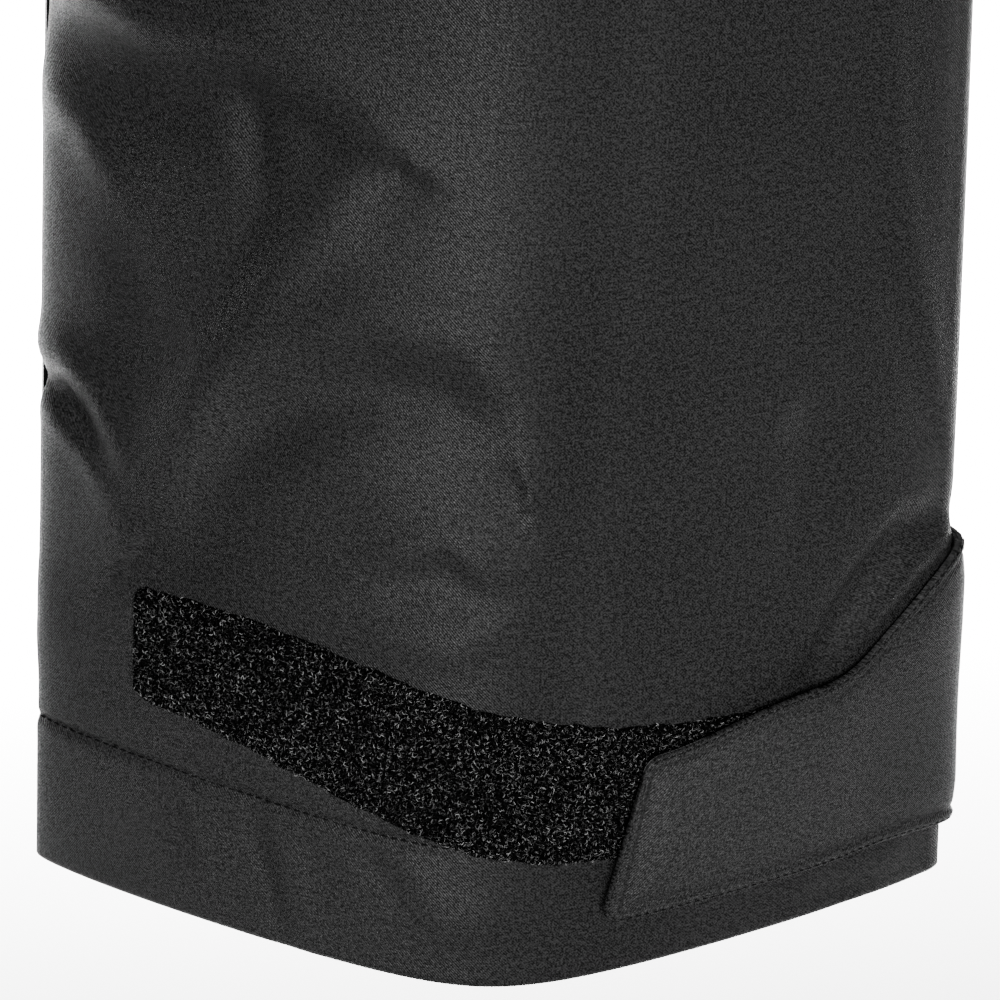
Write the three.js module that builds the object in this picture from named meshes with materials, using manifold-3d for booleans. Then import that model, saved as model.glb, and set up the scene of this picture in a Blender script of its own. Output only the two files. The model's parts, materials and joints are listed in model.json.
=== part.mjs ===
// A pair of ski pants: two wide shell legs with linings, snow gaiters and cuff tabs,
// a waistband with a snap tab and side adjusters, a zipped fly and zipped hand pockets,
// and one flapped thigh pocket.
//
// Millimetres. The origin is the centre of the waist opening, in the waistband's top plane.
// +Z is up, the wearer's left is +X and the wearer faces -Y.
// The left half is built once; the right half is the same pieces mirrored across X.

import * as THREE from 'three';
import ManifoldModule from 'manifold-3d';

// ---- Overall sizes ----
const INSEAM = 760;
const RISE = 300;
const BAND_HEIGHT = 40;
const WAIST_HALF_WIDTH = 162;
const WAIST_HALF_DEPTH = 117;
const HIP_ABOVE_CROTCH = 90;
const HIP_HALF_WIDTH = 216;
const HIP_BACK_DEPTH = 148;
const THIGH_HALF_WIDTH = 110;
const THIGH_FRONT_DEPTH = 112;
const THIGH_BACK_DEPTH = 120;
const KNEE_HEIGHT = 440;
const KNEE_HALF_WIDTH = 122;
const KNEE_FRONT_DEPTH = 84;
const KNEE_BACK_DEPTH = 70;
const KNEE_CENTRE = 144;
const CALF_HEIGHT = 270;
const CALF_HALF_WIDTH = 127;
const CALF_FRONT_DEPTH = 70;
const CALF_BACK_DEPTH = 56;
const CALF_CENTRE = 152;
const HEM_HALF_WIDTH = 131;
const HEM_FRONT_DEPTH = 62;
const HEM_BACK_DEPTH = 48;
const HEM_CENTRE = 151;
const HEM_FRONT_DIP = 16;
const HEM_BACK_DIP = 5;
const HEM_DEPTH = 45;

// ---- Cloth, trim and clearances ----
const SHELL = 2.4;
const LINING = 1.2;
const WEBBING = 1.8;
const LAYER_GAP = 0.3;
const CENTRE_GAP = 0.2;
const PATCH = 1.4;
const HOOK_TAPE = 1.0;
const LOOP_TAPE = 0.8;
const HEM_EDGE_GAP = 0.4;
const FACING_GAP = 1;

// ---- Cuff tab and its loop patch, measured round from the outseam and up from the hem ----
const TAB_ROOT = -14;
const TAB_REACH = 114;
const TAB_LOW = 15;
const TAB_END_HEIGHT = 48;
const TAB_ROOT_HEIGHT = 88;
const LOOP_PATCH_START = 56;
const LOOP_PATCH_END = 257;
const LOOP_PATCH_HEIGHT = 35;
const LOOP_PATCH_CLIMB = 28;
const CUFF_HOOK_LENGTH = 30;
const CUFF_HOOK_HEIGHT = 14;
const CUFF_HOOK_SETBACK = 42;
const TAB_END_RADIUS = 8;
const TAB_SEAM = 1.2;

// ---- Gaiter ----
const GAITER_TOP = 175;
const GAITER_FOOT = 34;
const GAITER_FOOT_DEPTH = 26;
const GAITER_ELASTIC = 25;
const LACE_HOOK_WIDTH = 12;
const LACE_HOOK_HEIGHT = 24;

// ---- Fly, pockets, waist trim ----
const FLY_LENGTH = 168;
const FLY_OPENING = 4.2;
const FLY_INSET = 4.6;
const ZIP_SLOT = 1.6;
const ZIP_TAPE = 1.0;
const ZIP_TAPE_WIDTH = 13;
const SLIDER_WIDTH = 7;
const SLIDER_HEIGHT = 9;
const PULLER_LENGTH = 20;
const POCKET_ZIP_LENGTH = 132;
const POCKET_MOUTH_WIDTH = 12;
const POCKET_INSET = 4.4;
const WAIST_TAB_ROOT = 44;
const WAIST_TAB_END = -48;
const SNAP_RADIUS = 7.5;
const ADJUSTER_ROOT = -70;
const ADJUSTER_END = 44;
const ADJUSTER_HEIGHT = 24;
const ADJUSTER_LOOP_START = -30;
const ADJUSTER_LOOP_PAST = 22;
const ADJUSTER_HOOK_LENGTH = 32;
const ADJUSTER_HOOK_SETBACK = 8;
const LOOP_STAND_OFF = 9;
const LOOP_WIDTH = 11;
const FRONT_LOOP_SHARE = 0.74;
const REAR_LOOP_SHARE = 0.7;
const THIGH_POCKET_WIDTH = 150;
const THIGH_POCKET_HEIGHT = 170;
const THIGH_POCKET_DEPTH = 7;
const THIGH_FLAP_HEIGHT = 62;
const THIGH_PATCH_FROM = 0.36;
const THIGH_PATCH_TO = 0.64;
const THIGH_PATCH_HEIGHT = 16;
const THIGH_PATCH_ABOVE = 8;
const YOKE_DEPTH = 52;
const YOKE_DROP = 26;

const TOP = INSEAM + RISE;
const BAND_BOTTOM = TOP - BAND_HEIGHT;
const HIP_HEIGHT = INSEAM + HIP_ABOVE_CROTCH;
const FRONT = -1;
const BACK = 1;

const wasm = await ManifoldModule();
wasm.setup();

// ---- Finishes ----
function finish(colour, roughness, metalness = 0) {
  return () => new THREE.MeshStandardMaterial({ color: colour, roughness, metalness });
}

const FINISHES = {
  shell: finish('#333436', 0.82),
  lining: finish('#2b2c30', 0.6),
  trim: finish('#262729', 0.75),
  loop: finish('#161617', 0.98),
  hook: finish('#1d1d1f', 0.7),
  zip: finish('#1b1b1d', 0.65),
  metal: finish('#6d6f73', 0.35, 1),
};

// ---- The form of one leg ----
// Each station gives the height, the outseam's distance from the middle of the body, the
// leg's centre, the two depths, the fore-and-aft lean and how sharply the section is creased.
const STATIONS = [
  [0, HEM_CENTRE + HEM_HALF_WIDTH, HEM_CENTRE, HEM_FRONT_DEPTH, HEM_BACK_DEPTH, 30, 0.75],
  [CALF_HEIGHT, CALF_CENTRE + CALF_HALF_WIDTH, CALF_CENTRE, CALF_FRONT_DEPTH, CALF_BACK_DEPTH, 6, 0.6],
  [KNEE_HEIGHT, KNEE_CENTRE + KNEE_HALF_WIDTH, KNEE_CENTRE, KNEE_FRONT_DEPTH, KNEE_BACK_DEPTH, -10, 0.35],
  [(KNEE_HEIGHT + INSEAM) / 2, 244, 128, 98, 92, -2, 0.1],
  [INSEAM, 2 * THIGH_HALF_WIDTH, THIGH_HALF_WIDTH, THIGH_FRONT_DEPTH, THIGH_BACK_DEPTH, 4, 0],
  [HIP_HEIGHT, HIP_HALF_WIDTH, 0, WAIST_HALF_DEPTH, HIP_BACK_DEPTH, 0, 0],
  [BAND_BOTTOM, WAIST_HALF_WIDTH, 0, WAIST_HALF_DEPTH, WAIST_HALF_DEPTH, 0, 0],
];

/** A station's slope: none where the value turns, so that it never overshoots. */
function slopeAt(index, value) {
  const last = STATIONS.length - 1;
  const secant = (low) => {
    const [from, to] = [STATIONS[low], STATIONS[low + 1]];
    return (to[value] - from[value]) / (to[0] - from[0]);
  };
  if (index === 0 || index === last) {
    return secant(index === 0 ? 0 : last - 1);
  }
  const before = secant(index - 1);
  const after = secant(index);
  return before * after <= 0 ? 0 : (2 * before * after) / (before + after);
}

/** The leg's sizes at a height above the hem, blended smoothly between stations. */
function formAt(height) {
  const last = STATIONS.length - 1;
  const level = Math.min(height, STATIONS[last][0]);
  let index = 0;
  while (index < last - 1 && STATIONS[index + 1][0] <= level) {
    index += 1;
  }
  const low = STATIONS[index];
  const high = STATIONS[index + 1];
  const span = high[0] - low[0];
  const t = (level - low[0]) / span;
  const blend = (value) => {
    if (t < 0) {
      return low[value] + slopeAt(index, value) * (level - low[0]);
    }
    const start = (2 * t ** 3 - 3 * t ** 2 + 1) * low[value];
    const end = (3 * t ** 2 - 2 * t ** 3) * high[value];
    const leave = (t ** 3 - 2 * t ** 2 + t) * span * slopeAt(index, value);
    const arrive = (t ** 3 - t ** 2) * span * slopeAt(index + 1, value);
    return start + end + leave + arrive;
  };
  return {
    half: blend(1) - blend(2),
    centre: blend(2),
    front: blend(3),
    back: blend(4),
    lean: blend(5),
    crease: blend(6),
  };
}

/** A soft roof: 1 in the middle, 0 at both ends, with straight sides. */
function ridge(across) {
  const soft = 0.2;
  const rise = Math.sqrt(across * across + soft * soft) - soft;
  return 1 - rise / (Math.sqrt(1 + soft * soft) - soft);
}

function smooth(value, from, to) {
  const t = Math.min(Math.max((value - from) / (to - from), 0), 1);
  return t * t * (3 - 2 * t);
}

/** A point on the section, at an angle from the outseam, offset outwards from the shell's face. */
function sectionPoint(side, angle, height, offset) {
  const form = formAt(height);
  const across = Math.cos(angle);
  const bulge = (1 - form.crease) * Math.sin(angle) + form.crease * ridge(across);
  const depth = (side === FRONT ? form.front : form.back) + offset;
  const x = form.centre + (form.half + offset) * across;
  const y = form.lean + side * Math.max(depth * bulge, LAYER_GAP / 2);
  return new THREE.Vector3(x, y, height - TOP);
}

/** Half the gap between the two legs' edges at the centre seam; wider along the fly. */
function centreGap(side, height) {
  if (side === BACK) {
    return CENTRE_GAP;
  }
  const foot = BAND_BOTTOM - FLY_LENGTH;
  return CENTRE_GAP + (FLY_OPENING - CENTRE_GAP) * smooth(height, foot - 14, foot + 2);
}

const girths = new Map();

/** Arc lengths round one side of the section, from the outseam to the inseam or centre seam. */
function girthTable(side, height) {
  const key = `${side}:${height.toFixed(2)}`;
  if (!girths.has(key)) {
    const form = formAt(height);
    const cosine = Math.max((centreGap(side, height) - form.centre) / form.half, -1);
    const sweep = Math.acos(cosine);
    const steps = 96;
    const angles = [0];
    const lengths = [0];
    let before = sectionPoint(side, 0, height, 0);
    for (let step = 1; step <= steps; step += 1) {
      const angle = (sweep * step) / steps;
      const here = sectionPoint(side, angle, height, 0);
      angles.push(angle);
      lengths.push(lengths[step - 1] + here.distanceTo(before));
      before = here;
    }
    girths.set(key, { angles, lengths, total: lengths[steps] });
  }
  return girths.get(key);
}

/** The angle from the outseam at a distance round the section. */
function angleAt(side, distance, height) {
  const { angles, lengths, total } = girthTable(side, height);
  const wanted = Math.min(Math.max(distance, 0), total);
  let step = 1;
  while (step < lengths.length - 1 && lengths[step] < wanted) {
    step += 1;
  }
  const part = (wanted - lengths[step - 1]) / (lengths[step] - lengths[step - 1]);
  return angles[step - 1] + (angles[step] - angles[step - 1]) * part;
}

/** How far the hem hangs below its seams, as a share of the way round; fades out up the leg. */
function dip(share, rise) {
  const depth = share >= 0 ? HEM_FRONT_DIP : HEM_BACK_DIP;
  return depth * ridge(2 * Math.abs(share) - 1) * Math.max(0, 1 - rise / 400);
}

/**
 * A point on the leg's skin. The share runs from 0 at the outseam to 1 at the front centre or
 * inseam, and to -1 at the back; the rise is measured up the cloth from the hem's edge.
 */
function skin(share, rise, offset) {
  const side = share >= 0 ? FRONT : BACK;
  const height = rise - dip(share, rise);
  const distance = Math.abs(share) * girthTable(side, height).total;
  return sectionPoint(side, angleAt(side, distance, height), height, offset);
}

/** The same, with the distance round given in millimetres: front positive, back negative. */
function skinRound(distance, rise, offset) {
  const side = distance >= 0 ? FRONT : BACK;
  return skin(distance / girthTable(side, rise).total, rise, offset);
}

/** A point on the front, at a given X, across the centre line. */
function frontFace(x, height, offset) {
  const form = formAt(height);
  const across = Math.min(Math.abs(x) / (form.half + offset), 1);
  const depth = (form.front + offset) * Math.sqrt(1 - across * across);
  return new THREE.Vector3(x, form.lean - depth, height - TOP);
}

/** A point on the waistband, at an angle from the wearer's left, positive towards the back. */
function bandPoint(angle, height, offset) {
  const x = (WAIST_HALF_WIDTH + offset) * Math.cos(angle);
  const y = (WAIST_HALF_DEPTH + offset) * Math.sin(angle);
  return new THREE.Vector3(x, y, height - TOP);
}

// ---- Solids ----
function volumeOf(points, faces) {
  let volume = 0;
  for (const [a, b, c] of faces) {
    volume += points[a].dot(points[b].clone().cross(points[c]));
  }
  return volume / 6;
}

function solid(points, faces) {
  const turned = volumeOf(points, faces) < 0;
  const order = turned ? faces.map(([a, b, c]) => [a, c, b]) : faces;
  const geometry = new THREE.BufferGeometry();
  geometry.setFromPoints(points);
  geometry.setIndex(order.flat());
  geometry.computeVertexNormals();
  return geometry;
}

/** A closed sheet: an outside grid, an inside grid and the rims that join them. */
function sheet(columns, rows, place) {
  const points = [];
  for (const layer of [0, 1]) {
    for (let row = 0; row <= rows; row += 1) {
      for (let column = 0; column <= columns; column += 1) {
        points.push(place(column / columns, row / rows, layer));
      }
    }
  }
  const at = (layer, row, column) => (layer * (rows + 1) + row) * (columns + 1) + column;
  const faces = [];
  const quad = (a, b, c, d) => faces.push([a, b, c], [a, c, d]);
  for (let row = 0; row < rows; row += 1) {
    for (let column = 0; column < columns; column += 1) {
      const corners = [[row, column], [row, column + 1], [row + 1, column + 1], [row + 1, column]];
      const [a, b, c, d] = corners.map(([r, k]) => at(0, r, k));
      const [e, f, g, h] = corners.map(([r, k]) => at(1, r, k));
      quad(a, b, c, d);
      quad(e, h, g, f);
    }
  }
  for (let row = 0; row < rows; row += 1) {
    quad(at(0, row, 0), at(0, row + 1, 0), at(1, row + 1, 0), at(1, row, 0));
    quad(at(0, row + 1, columns), at(0, row, columns), at(1, row, columns), at(1, row + 1, columns));
  }
  for (let column = 0; column < columns; column += 1) {
    quad(at(0, 0, column + 1), at(0, 0, column), at(1, 0, column), at(1, 0, column + 1));
    quad(at(0, rows, column), at(0, rows, column + 1), at(1, rows, column + 1), at(1, rows, column));
  }
  return solid(points, faces);
}

/** A closed ring, such as an elastic band: sections round a loop, each with four corners. */
function ring(steps, corner) {
  const points = [];
  const faces = [];
  for (let step = 0; step < steps; step += 1) {
    for (let which = 0; which < 4; which += 1) {
      points.push(corner(step / steps, which));
    }
  }
  for (let step = 0; step < steps; step += 1) {
    const next = (step + 1) % steps;
    for (let which = 0; which < 4; which += 1) {
      const beside = (which + 1) % 4;
      const a = step * 4 + which;
      const b = next * 4 + which;
      const c = next * 4 + beside;
      const d = step * 4 + beside;
      faces.push([a, b, c], [a, c, d]);
    }
  }
  return solid(points, faces);
}

function toManifold(geometry) {
  const points = geometry.attributes.position.array;
  const index = geometry.index ? geometry.index.array : points.map((_, i) => i).slice(0, points.length / 3);
  const mesh = new wasm.Mesh({
    numProp: 3,
    vertProperties: Float32Array.from(points),
    triVerts: Uint32Array.from(index),
  });
  mesh.merge();
  return new wasm.Manifold(mesh);
}

function fromManifold(manifold) {
  const mesh = manifold.getMesh();
  const geometry = new THREE.BufferGeometry();
  geometry.setAttribute('position', new THREE.BufferAttribute(Float32Array.from(mesh.vertProperties), 3));
  geometry.setIndex(Array.from(mesh.triVerts));
  geometry.computeVertexNormals();
  return geometry;
}

function cutAway(geometry, tools) {
  let body = toManifold(geometry);
  for (const tool of tools) {
    body = body.subtract(toManifold(tool));
  }
  return fromManifold(body);
}

function joinTo(geometry, more) {
  let body = toManifold(geometry);
  for (const extra of more) {
    body = body.add(toManifold(extra));
  }
  return fromManifold(body);
}

function extrude(shape, depth, steps = 1) {
  return new THREE.ExtrudeGeometry(shape, { depth, steps, bevelEnabled: false, curveSegments: 4 });
}

function polygon(points) {
  return new THREE.Shape(points.map(([x, y]) => new THREE.Vector2(x, y)));
}

function roundedPlate(width, height, radius) {
  const x = width / 2;
  const y = height / 2;
  const shape = new THREE.Shape();
  shape.moveTo(radius - x, -y);
  shape.lineTo(x - radius, -y);
  shape.absarc(x - radius, radius - y, radius, -Math.PI / 2, 0, false);
  shape.lineTo(x, y - radius);
  shape.absarc(x - radius, y - radius, radius, 0, Math.PI / 2, false);
  shape.lineTo(radius - x, y);
  shape.absarc(radius - x, y - radius, radius, Math.PI / 2, Math.PI, false);
  shape.lineTo(-x, radius - y);
  shape.absarc(radius - x, radius - y, radius, Math.PI, 1.5 * Math.PI, false);
  return shape;
}

function slotPath(width, height, middle) {
  const x = width / 2;
  const y = height / 2;
  const corners = [[-x, middle - y], [-x, middle + y], [x, middle + y], [x, middle - y]];
  return new THREE.Path(corners.map(([a, b]) => new THREE.Vector2(a, b)));
}

function disc(profile) {
  const points = profile.map(([radius, height]) => new THREE.Vector2(radius, height));
  return new THREE.LatheGeometry(points, 16);
}

function piece(name, geometry, look) {
  const mesh = new THREE.Mesh(geometry, FINISHES[look]());
  mesh.name = name;
  return mesh;
}

// ---- Leg panels ----
/** The back yoke's lower edge, which drops towards the centre back. */
function yokeLine(share) {
  return BAND_BOTTOM - YOKE_DEPTH - YOKE_DROP * Math.abs(share);
}

const PANEL_COLUMNS = 10;
const LEG_ROWS = 11;
const HIP_ROWS = 8;

/** Rises are closer together over the hip, where the leg's form turns most. */
function panelRise(up, top) {
  const row = up * (LEG_ROWS + HIP_ROWS);
  if (row < LEG_ROWS + 0.5) {
    return (INSEAM * row) / LEG_ROWS;
  }
  return INSEAM + (top - INSEAM) * ((row - LEG_ROWS) / HIP_ROWS) ** 1.4;
}

function panel(side) {
  const ends = side === FRONT ? () => BAND_BOTTOM - LAYER_GAP : yokeLine;
  return sheet(PANEL_COLUMNS, LEG_ROWS + HIP_ROWS, (across, up, layer) => {
    const share = side === FRONT ? across : -Math.max(across, 1e-9);
    return skin(share, panelRise(up, ends(across)), -SHELL * layer);
  });
}

function yoke() {
  return sheet(PANEL_COLUMNS, 3, (across, up, layer) => {
    const low = yokeLine(across) + LAYER_GAP;
    const rise = low + (BAND_BOTTOM - LAYER_GAP - low) * up;
    return skin(-Math.max(across, 1e-9), rise, -SHELL * layer);
  });
}

/** Position and directions on the hand pocket's straight zip, from two points on the skin. */
function pocketFrame() {
  const top = sectionPoint(FRONT, 0.86, BAND_BOTTOM - 16, 0);
  const foot = sectionPoint(FRONT, 0.68, BAND_BOTTOM - 16 - POCKET_ZIP_LENGTH, 0);
  const up = top.clone().sub(foot).normalize();
  const middle = top.clone().add(foot).multiplyScalar(0.5);
  const beside = sectionPoint(FRONT, 0.9, middle.z + TOP, 0);
  const other = sectionPoint(FRONT, 0.64, middle.z + TOP, 0);
  const across = beside.sub(other).normalize();
  const inwards = across.clone().cross(up).normalize();
  const squared = inwards.clone().cross(up).normalize();
  const matrix = new THREE.Matrix4().makeBasis(squared, inwards, up);
  matrix.setPosition(middle.addScaledVector(inwards, POCKET_INSET));
  return matrix;
}

function frontPanel() {
  const mouth = extrude(roundedPlate(POCKET_MOUTH_WIDTH, POCKET_ZIP_LENGTH + 6, 3), 24);
  mouth.rotateX(Math.PI / 2);
  mouth.translate(0, 12, 0);
  mouth.applyMatrix4(pocketFrame());
  return cutAway(panel(FRONT), [mouth]);
}

// ---- Inner layers of the leg ----
function liningDepth(rise) {
  return 5 + 9 * smooth(rise, 480, 780);
}

function lining() {
  return sheet(20, 11, (across, up, layer) => {
    const rise = HEM_DEPTH + 1.5 + (BAND_BOTTOM - HEM_DEPTH - 2) * up;
    return skin(1 - 2 * across, rise, -liningDepth(rise) - LINING * layer);
  });
}

function hemFacing() {
  return sheet(20, 1, (across, up, layer) => {
    const rise = HEM_EDGE_GAP + (HEM_DEPTH - HEM_EDGE_GAP) * up;
    return skin(1 - 2 * across, rise, -SHELL - FACING_GAP - LINING * layer);
  });
}

function gaiterDepth(rise) {
  return GAITER_FOOT_DEPTH - 15 * smooth(rise, GAITER_FOOT, GAITER_TOP - 30);
}

function gaiter() {
  return sheet(20, 3, (across, up, layer) => {
    const rise = GAITER_FOOT + (GAITER_TOP - GAITER_FOOT) * up;
    return skin(1 - 2 * across, rise, -gaiterDepth(rise) - LINING * layer);
  });
}

function gaiterElastic() {
  const steps = 20;
  const depth = gaiterDepth(GAITER_FOOT) + LINING + 1;
  return ring(steps, (round, which) => {
    const offset = -depth - (which === 1 || which === 2 ? WEBBING : 0);
    return skin(1 - 2 * round, GAITER_FOOT + 1 + (which > 1 ? GAITER_ELASTIC : 0), offset);
  });
}

/** A bent wire-plate hook on the gaiter's front, which catches a boot's lace. */
function laceHook() {
  const shank = [[0, 0], [0, LACE_HOOK_HEIGHT], [-1.2, LACE_HOOK_HEIGHT], [-1.2, 1.2]];
  const lip = [[-4.6, 1.2], [-4.6, 7], [-5.8, 7], [-5.8, 0]];
  const hook = extrude(polygon([...shank, ...lip]), LACE_HOOK_WIDTH);
  hook.rotateX(Math.PI / 2);
  hook.rotateZ(Math.PI / 2);
  hook.translate(-LACE_HOOK_WIDTH / 2, 0, 0);
  const at = skin(0.5, GAITER_FOOT - 4, -gaiterDepth(GAITER_FOOT) + 5);
  hook.translate(at.x, at.y, at.z - 6);
  return hook;
}

// ---- Cuff ----
/** How far the cuff tab stands off the shell: low at its sewn root, over the patch further on. */
function tabLift(distance) {
  const layers = PATCH + HOOK_TAPE + 2 * LAYER_GAP;
  return 3 * LAYER_GAP + layers * smooth(distance, LOOP_PATCH_START - 30, LOOP_PATCH_START - 4);
}

function tabTop(distance) {
  const flare = smooth(distance, 46, TAB_ROOT);
  const body = TAB_END_HEIGHT + 4 * smooth(distance, TAB_REACH, 46);
  return TAB_LOW + body + (TAB_ROOT_HEIGHT - TAB_END_HEIGHT - 4) * flare;
}

function tabLow(distance) {
  return TAB_LOW - 4 * smooth(distance, 30, TAB_ROOT);
}

const TAB_STOPS = [-14, -7, 0, 8, 16, 24, 32, 40, 48, 56, 64, 72, 80, 88, 96, 104, 110, 114];

/** Rounds a tab's free end: trims its edges near the corner radius. */
function endTrim(distance, reach, radius) {
  const past = Math.max(distance - (reach - radius), 0) / radius;
  return radius * (1 - Math.sqrt(Math.max(1 - past * past, 0)));
}

function tabLayer(low, thickness, inset) {
  const columns = TAB_STOPS.length - 1;
  return sheet(columns, 4, (across, up, layer) => {
    const stop = TAB_STOPS[Math.round(across * columns)];
    const distance = Math.min(stop, TAB_REACH - inset);
    const trim = endTrim(stop, TAB_REACH, TAB_END_RADIUS) + inset;
    const foot = tabLow(distance) + trim;
    const head = tabTop(distance) - trim;
    const slant = (12 * up - 6) * smooth(distance, 60, TAB_REACH);
    const offset = tabLift(distance) + low + thickness * (1 - layer);
    return skinRound(distance - slant, foot + (head - foot) * up, offset);
  });
}

function patchLow(distance) {
  return HEM_DEPTH - 10 + LOOP_PATCH_CLIMB * smooth(distance, 110, 265);
}

function patchTop(distance) {
  return HEM_DEPTH - 10 + LOOP_PATCH_HEIGHT + LOOP_PATCH_CLIMB * smooth(distance, 70, 235);
}

function loopPatch() {
  const columns = 24;
  return sheet(columns, 3, (across, up, layer) => {
    const distance = LOOP_PATCH_START + (LOOP_PATCH_END - LOOP_PATCH_START) * across;
    const trim = endTrim(distance, LOOP_PATCH_END, 9);
    const low = patchLow(distance) + trim;
    const top = patchTop(distance) - trim;
    return skinRound(distance, low + (top - low) * up, LAYER_GAP + PATCH * (1 - layer));
  });
}

function hookPatch() {
  return sheet(4, 2, (across, up, layer) => {
    const distance = TAB_REACH - CUFF_HOOK_SETBACK + CUFF_HOOK_LENGTH * across;
    const rise = TAB_LOW + 30 + CUFF_HOOK_HEIGHT * up;
    const low = LAYER_GAP + PATCH + LAYER_GAP;
    return skinRound(distance, rise, low + HOOK_TAPE * (1 - layer));
  });
}

function cuff(name) {
  const group = new THREE.Group();
  group.add(piece(`${name}CuffLoopPatch`, loopPatch(), 'loop'));
  group.add(piece(`${name}CuffHookPatch`, hookPatch(), 'hook'));
  group.add(piece(`${name}CuffTabFacing`, tabLayer(0, LINING, TAB_SEAM), 'trim'));
  group.add(piece(`${name}CuffTab`, tabLayer(LINING + LAYER_GAP, WEBBING, 0), 'shell'));
  return group;
}

// ---- Zips ----
// A zip is built upright: X across, -Y out of the garment, its top end's centre at the origin.
/** One side of the fly zip: a woven tape with the thicker chain along its edge. */
function flyTape() {
  const bead = ZIP_TAPE / 2 + 0.3;
  const thin = ZIP_TAPE / 2 - 0.1;
  const start = ZIP_SLOT / 2;
  const profile = [
    [start, -bead],
    [start + 2, -bead],
    [start + 2.4, -thin],
    [start + ZIP_TAPE_WIDTH, -thin],
    [start + ZIP_TAPE_WIDTH, thin],
    [start + 2.4, thin],
    [start + 2, bead],
    [start, bead],
  ];
  const tape = extrude(polygon(profile), FLY_LENGTH);
  tape.translate(0, TOP_OF_FLY.y, TOP_OF_FLY.z - FLY_LENGTH);
  return tape;
}

/** A closed-end zip: one tape plate with the slot that its slider runs along. */
function pocketTape() {
  const plate = roundedPlate(ZIP_TAPE_WIDTH * 2, POCKET_ZIP_LENGTH + 12, 2);
  plate.holes.push(slotPath(ZIP_SLOT, POCKET_ZIP_LENGTH, 0));
  const tape = extrude(plate, ZIP_TAPE);
  tape.rotateX(Math.PI / 2);
  tape.translate(0, ZIP_TAPE / 2, 0);
  return tape;
}

const PLATE_GAP = 1.2;
const PLATE = 1;
const BAIL_REACH = 2.6;

/** A slider: two plates on a web that runs between the chains, with a bail in front. */
function slider() {
  const x = SLIDER_WIDTH / 2;
  const web = ZIP_SLOT / 2 - 0.3;
  const near = PLATE_GAP;
  const far = PLATE_GAP + PLATE;
  const profile = [
    [-x, -far], [x, -far], [x, -near], [web, -near], [web, near], [x, near],
    [x, far], [-x, far], [-x, near], [-web, near], [-web, -near], [-x, -near],
  ];
  const body = extrude(polygon(profile), SLIDER_HEIGHT);
  body.translate(0, 0, -SLIDER_HEIGHT / 2);
  const reach = far + BAIL_REACH;
  const bailProfile = [
    [-far + 0.4, 3.4], [-reach, 3.4], [-reach - 1, 2.4],
    [-reach - 1, -2.4], [-reach, -3.4], [-far + 0.4, -3.4],
    [-far + 0.4, -2.3], [-reach, -2.3], [-reach, 2.3], [-far + 0.4, 2.3],
  ];
  const bail = extrude(polygon(bailProfile), 1.8);
  bail.rotateX(Math.PI / 2);
  bail.rotateZ(Math.PI / 2);
  bail.translate(-0.9, 0, 0);
  return joinTo(body, [bail]);
}

const PULLER_THICKNESS = 1.3;

/** A puller: a tapered tag whose eye hangs on the slider's bail. */
function puller() {
  const half = 3;
  const tag = [
    [-half, -PULLER_LENGTH], [half, -PULLER_LENGTH], [2.6, -8], [2.4, 0.5],
    [1.8, 1], [-1.8, 1], [-2.4, 0.5], [-2.6, -8],
  ];
  const shape = polygon(tag);
  shape.holes.push(slotPath(2.8, 5.2, -3.1));
  const body = extrude(shape, PULLER_THICKNESS);
  body.rotateX(Math.PI / 2);
  const inside = PLATE_GAP + PLATE + BAIL_REACH / 2;
  body.translate(0, PULLER_THICKNESS / 2 - inside, -1.1);
  return body;
}

const TOP_OF_FLY = new THREE.Vector3(0, FLY_INSET - WAIST_HALF_DEPTH, -BAND_HEIGHT - 1);

function fly() {
  const group = new THREE.Group();
  const shield = sheet(6, 6, (across, up, layer) => {
    const height = BAND_BOTTOM - FLY_LENGTH - 8 + (FLY_LENGTH + 7) * up;
    return frontFace(28 - 52 * across, height, -9.4 - LINING * layer);
  });
  group.add(piece('FlyShield', shield, 'lining'));
  const flap = sheet(6, 8, (across, up, layer) => {
    const height = BAND_BOTTOM - FLY_LENGTH - 16 + (FLY_LENGTH + 15) * up;
    const end = -16 + 18 * (1 - smooth(height, BAND_BOTTOM - FLY_LENGTH - 16, BAND_BOTTOM - 130));
    return frontFace(30 + (end - 30) * across, height, 2.6 + WEBBING * (1 - layer));
  });
  group.add(piece('FlyFlap', flap, 'shell'));
  const leftTape = flyTape();
  const rightTape = flyTape();
  rightTape.rotateZ(Math.PI);
  rightTape.translate(0, 2 * TOP_OF_FLY.y, 0);
  group.add(piece('FlyZipTapeLeft', leftTape, 'zip'));
  group.add(piece('FlyZipTapeRight', rightTape, 'zip'));
  const runner = slider();
  runner.translate(0, TOP_OF_FLY.y, TOP_OF_FLY.z - SLIDER_HEIGHT);
  group.add(piece('FlySlider', runner, 'metal'));
  const tag = puller();
  tag.translate(0, TOP_OF_FLY.y, TOP_OF_FLY.z - SLIDER_HEIGHT);
  group.add(piece('FlyPuller', tag, 'metal'));
  return group;
}

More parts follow.
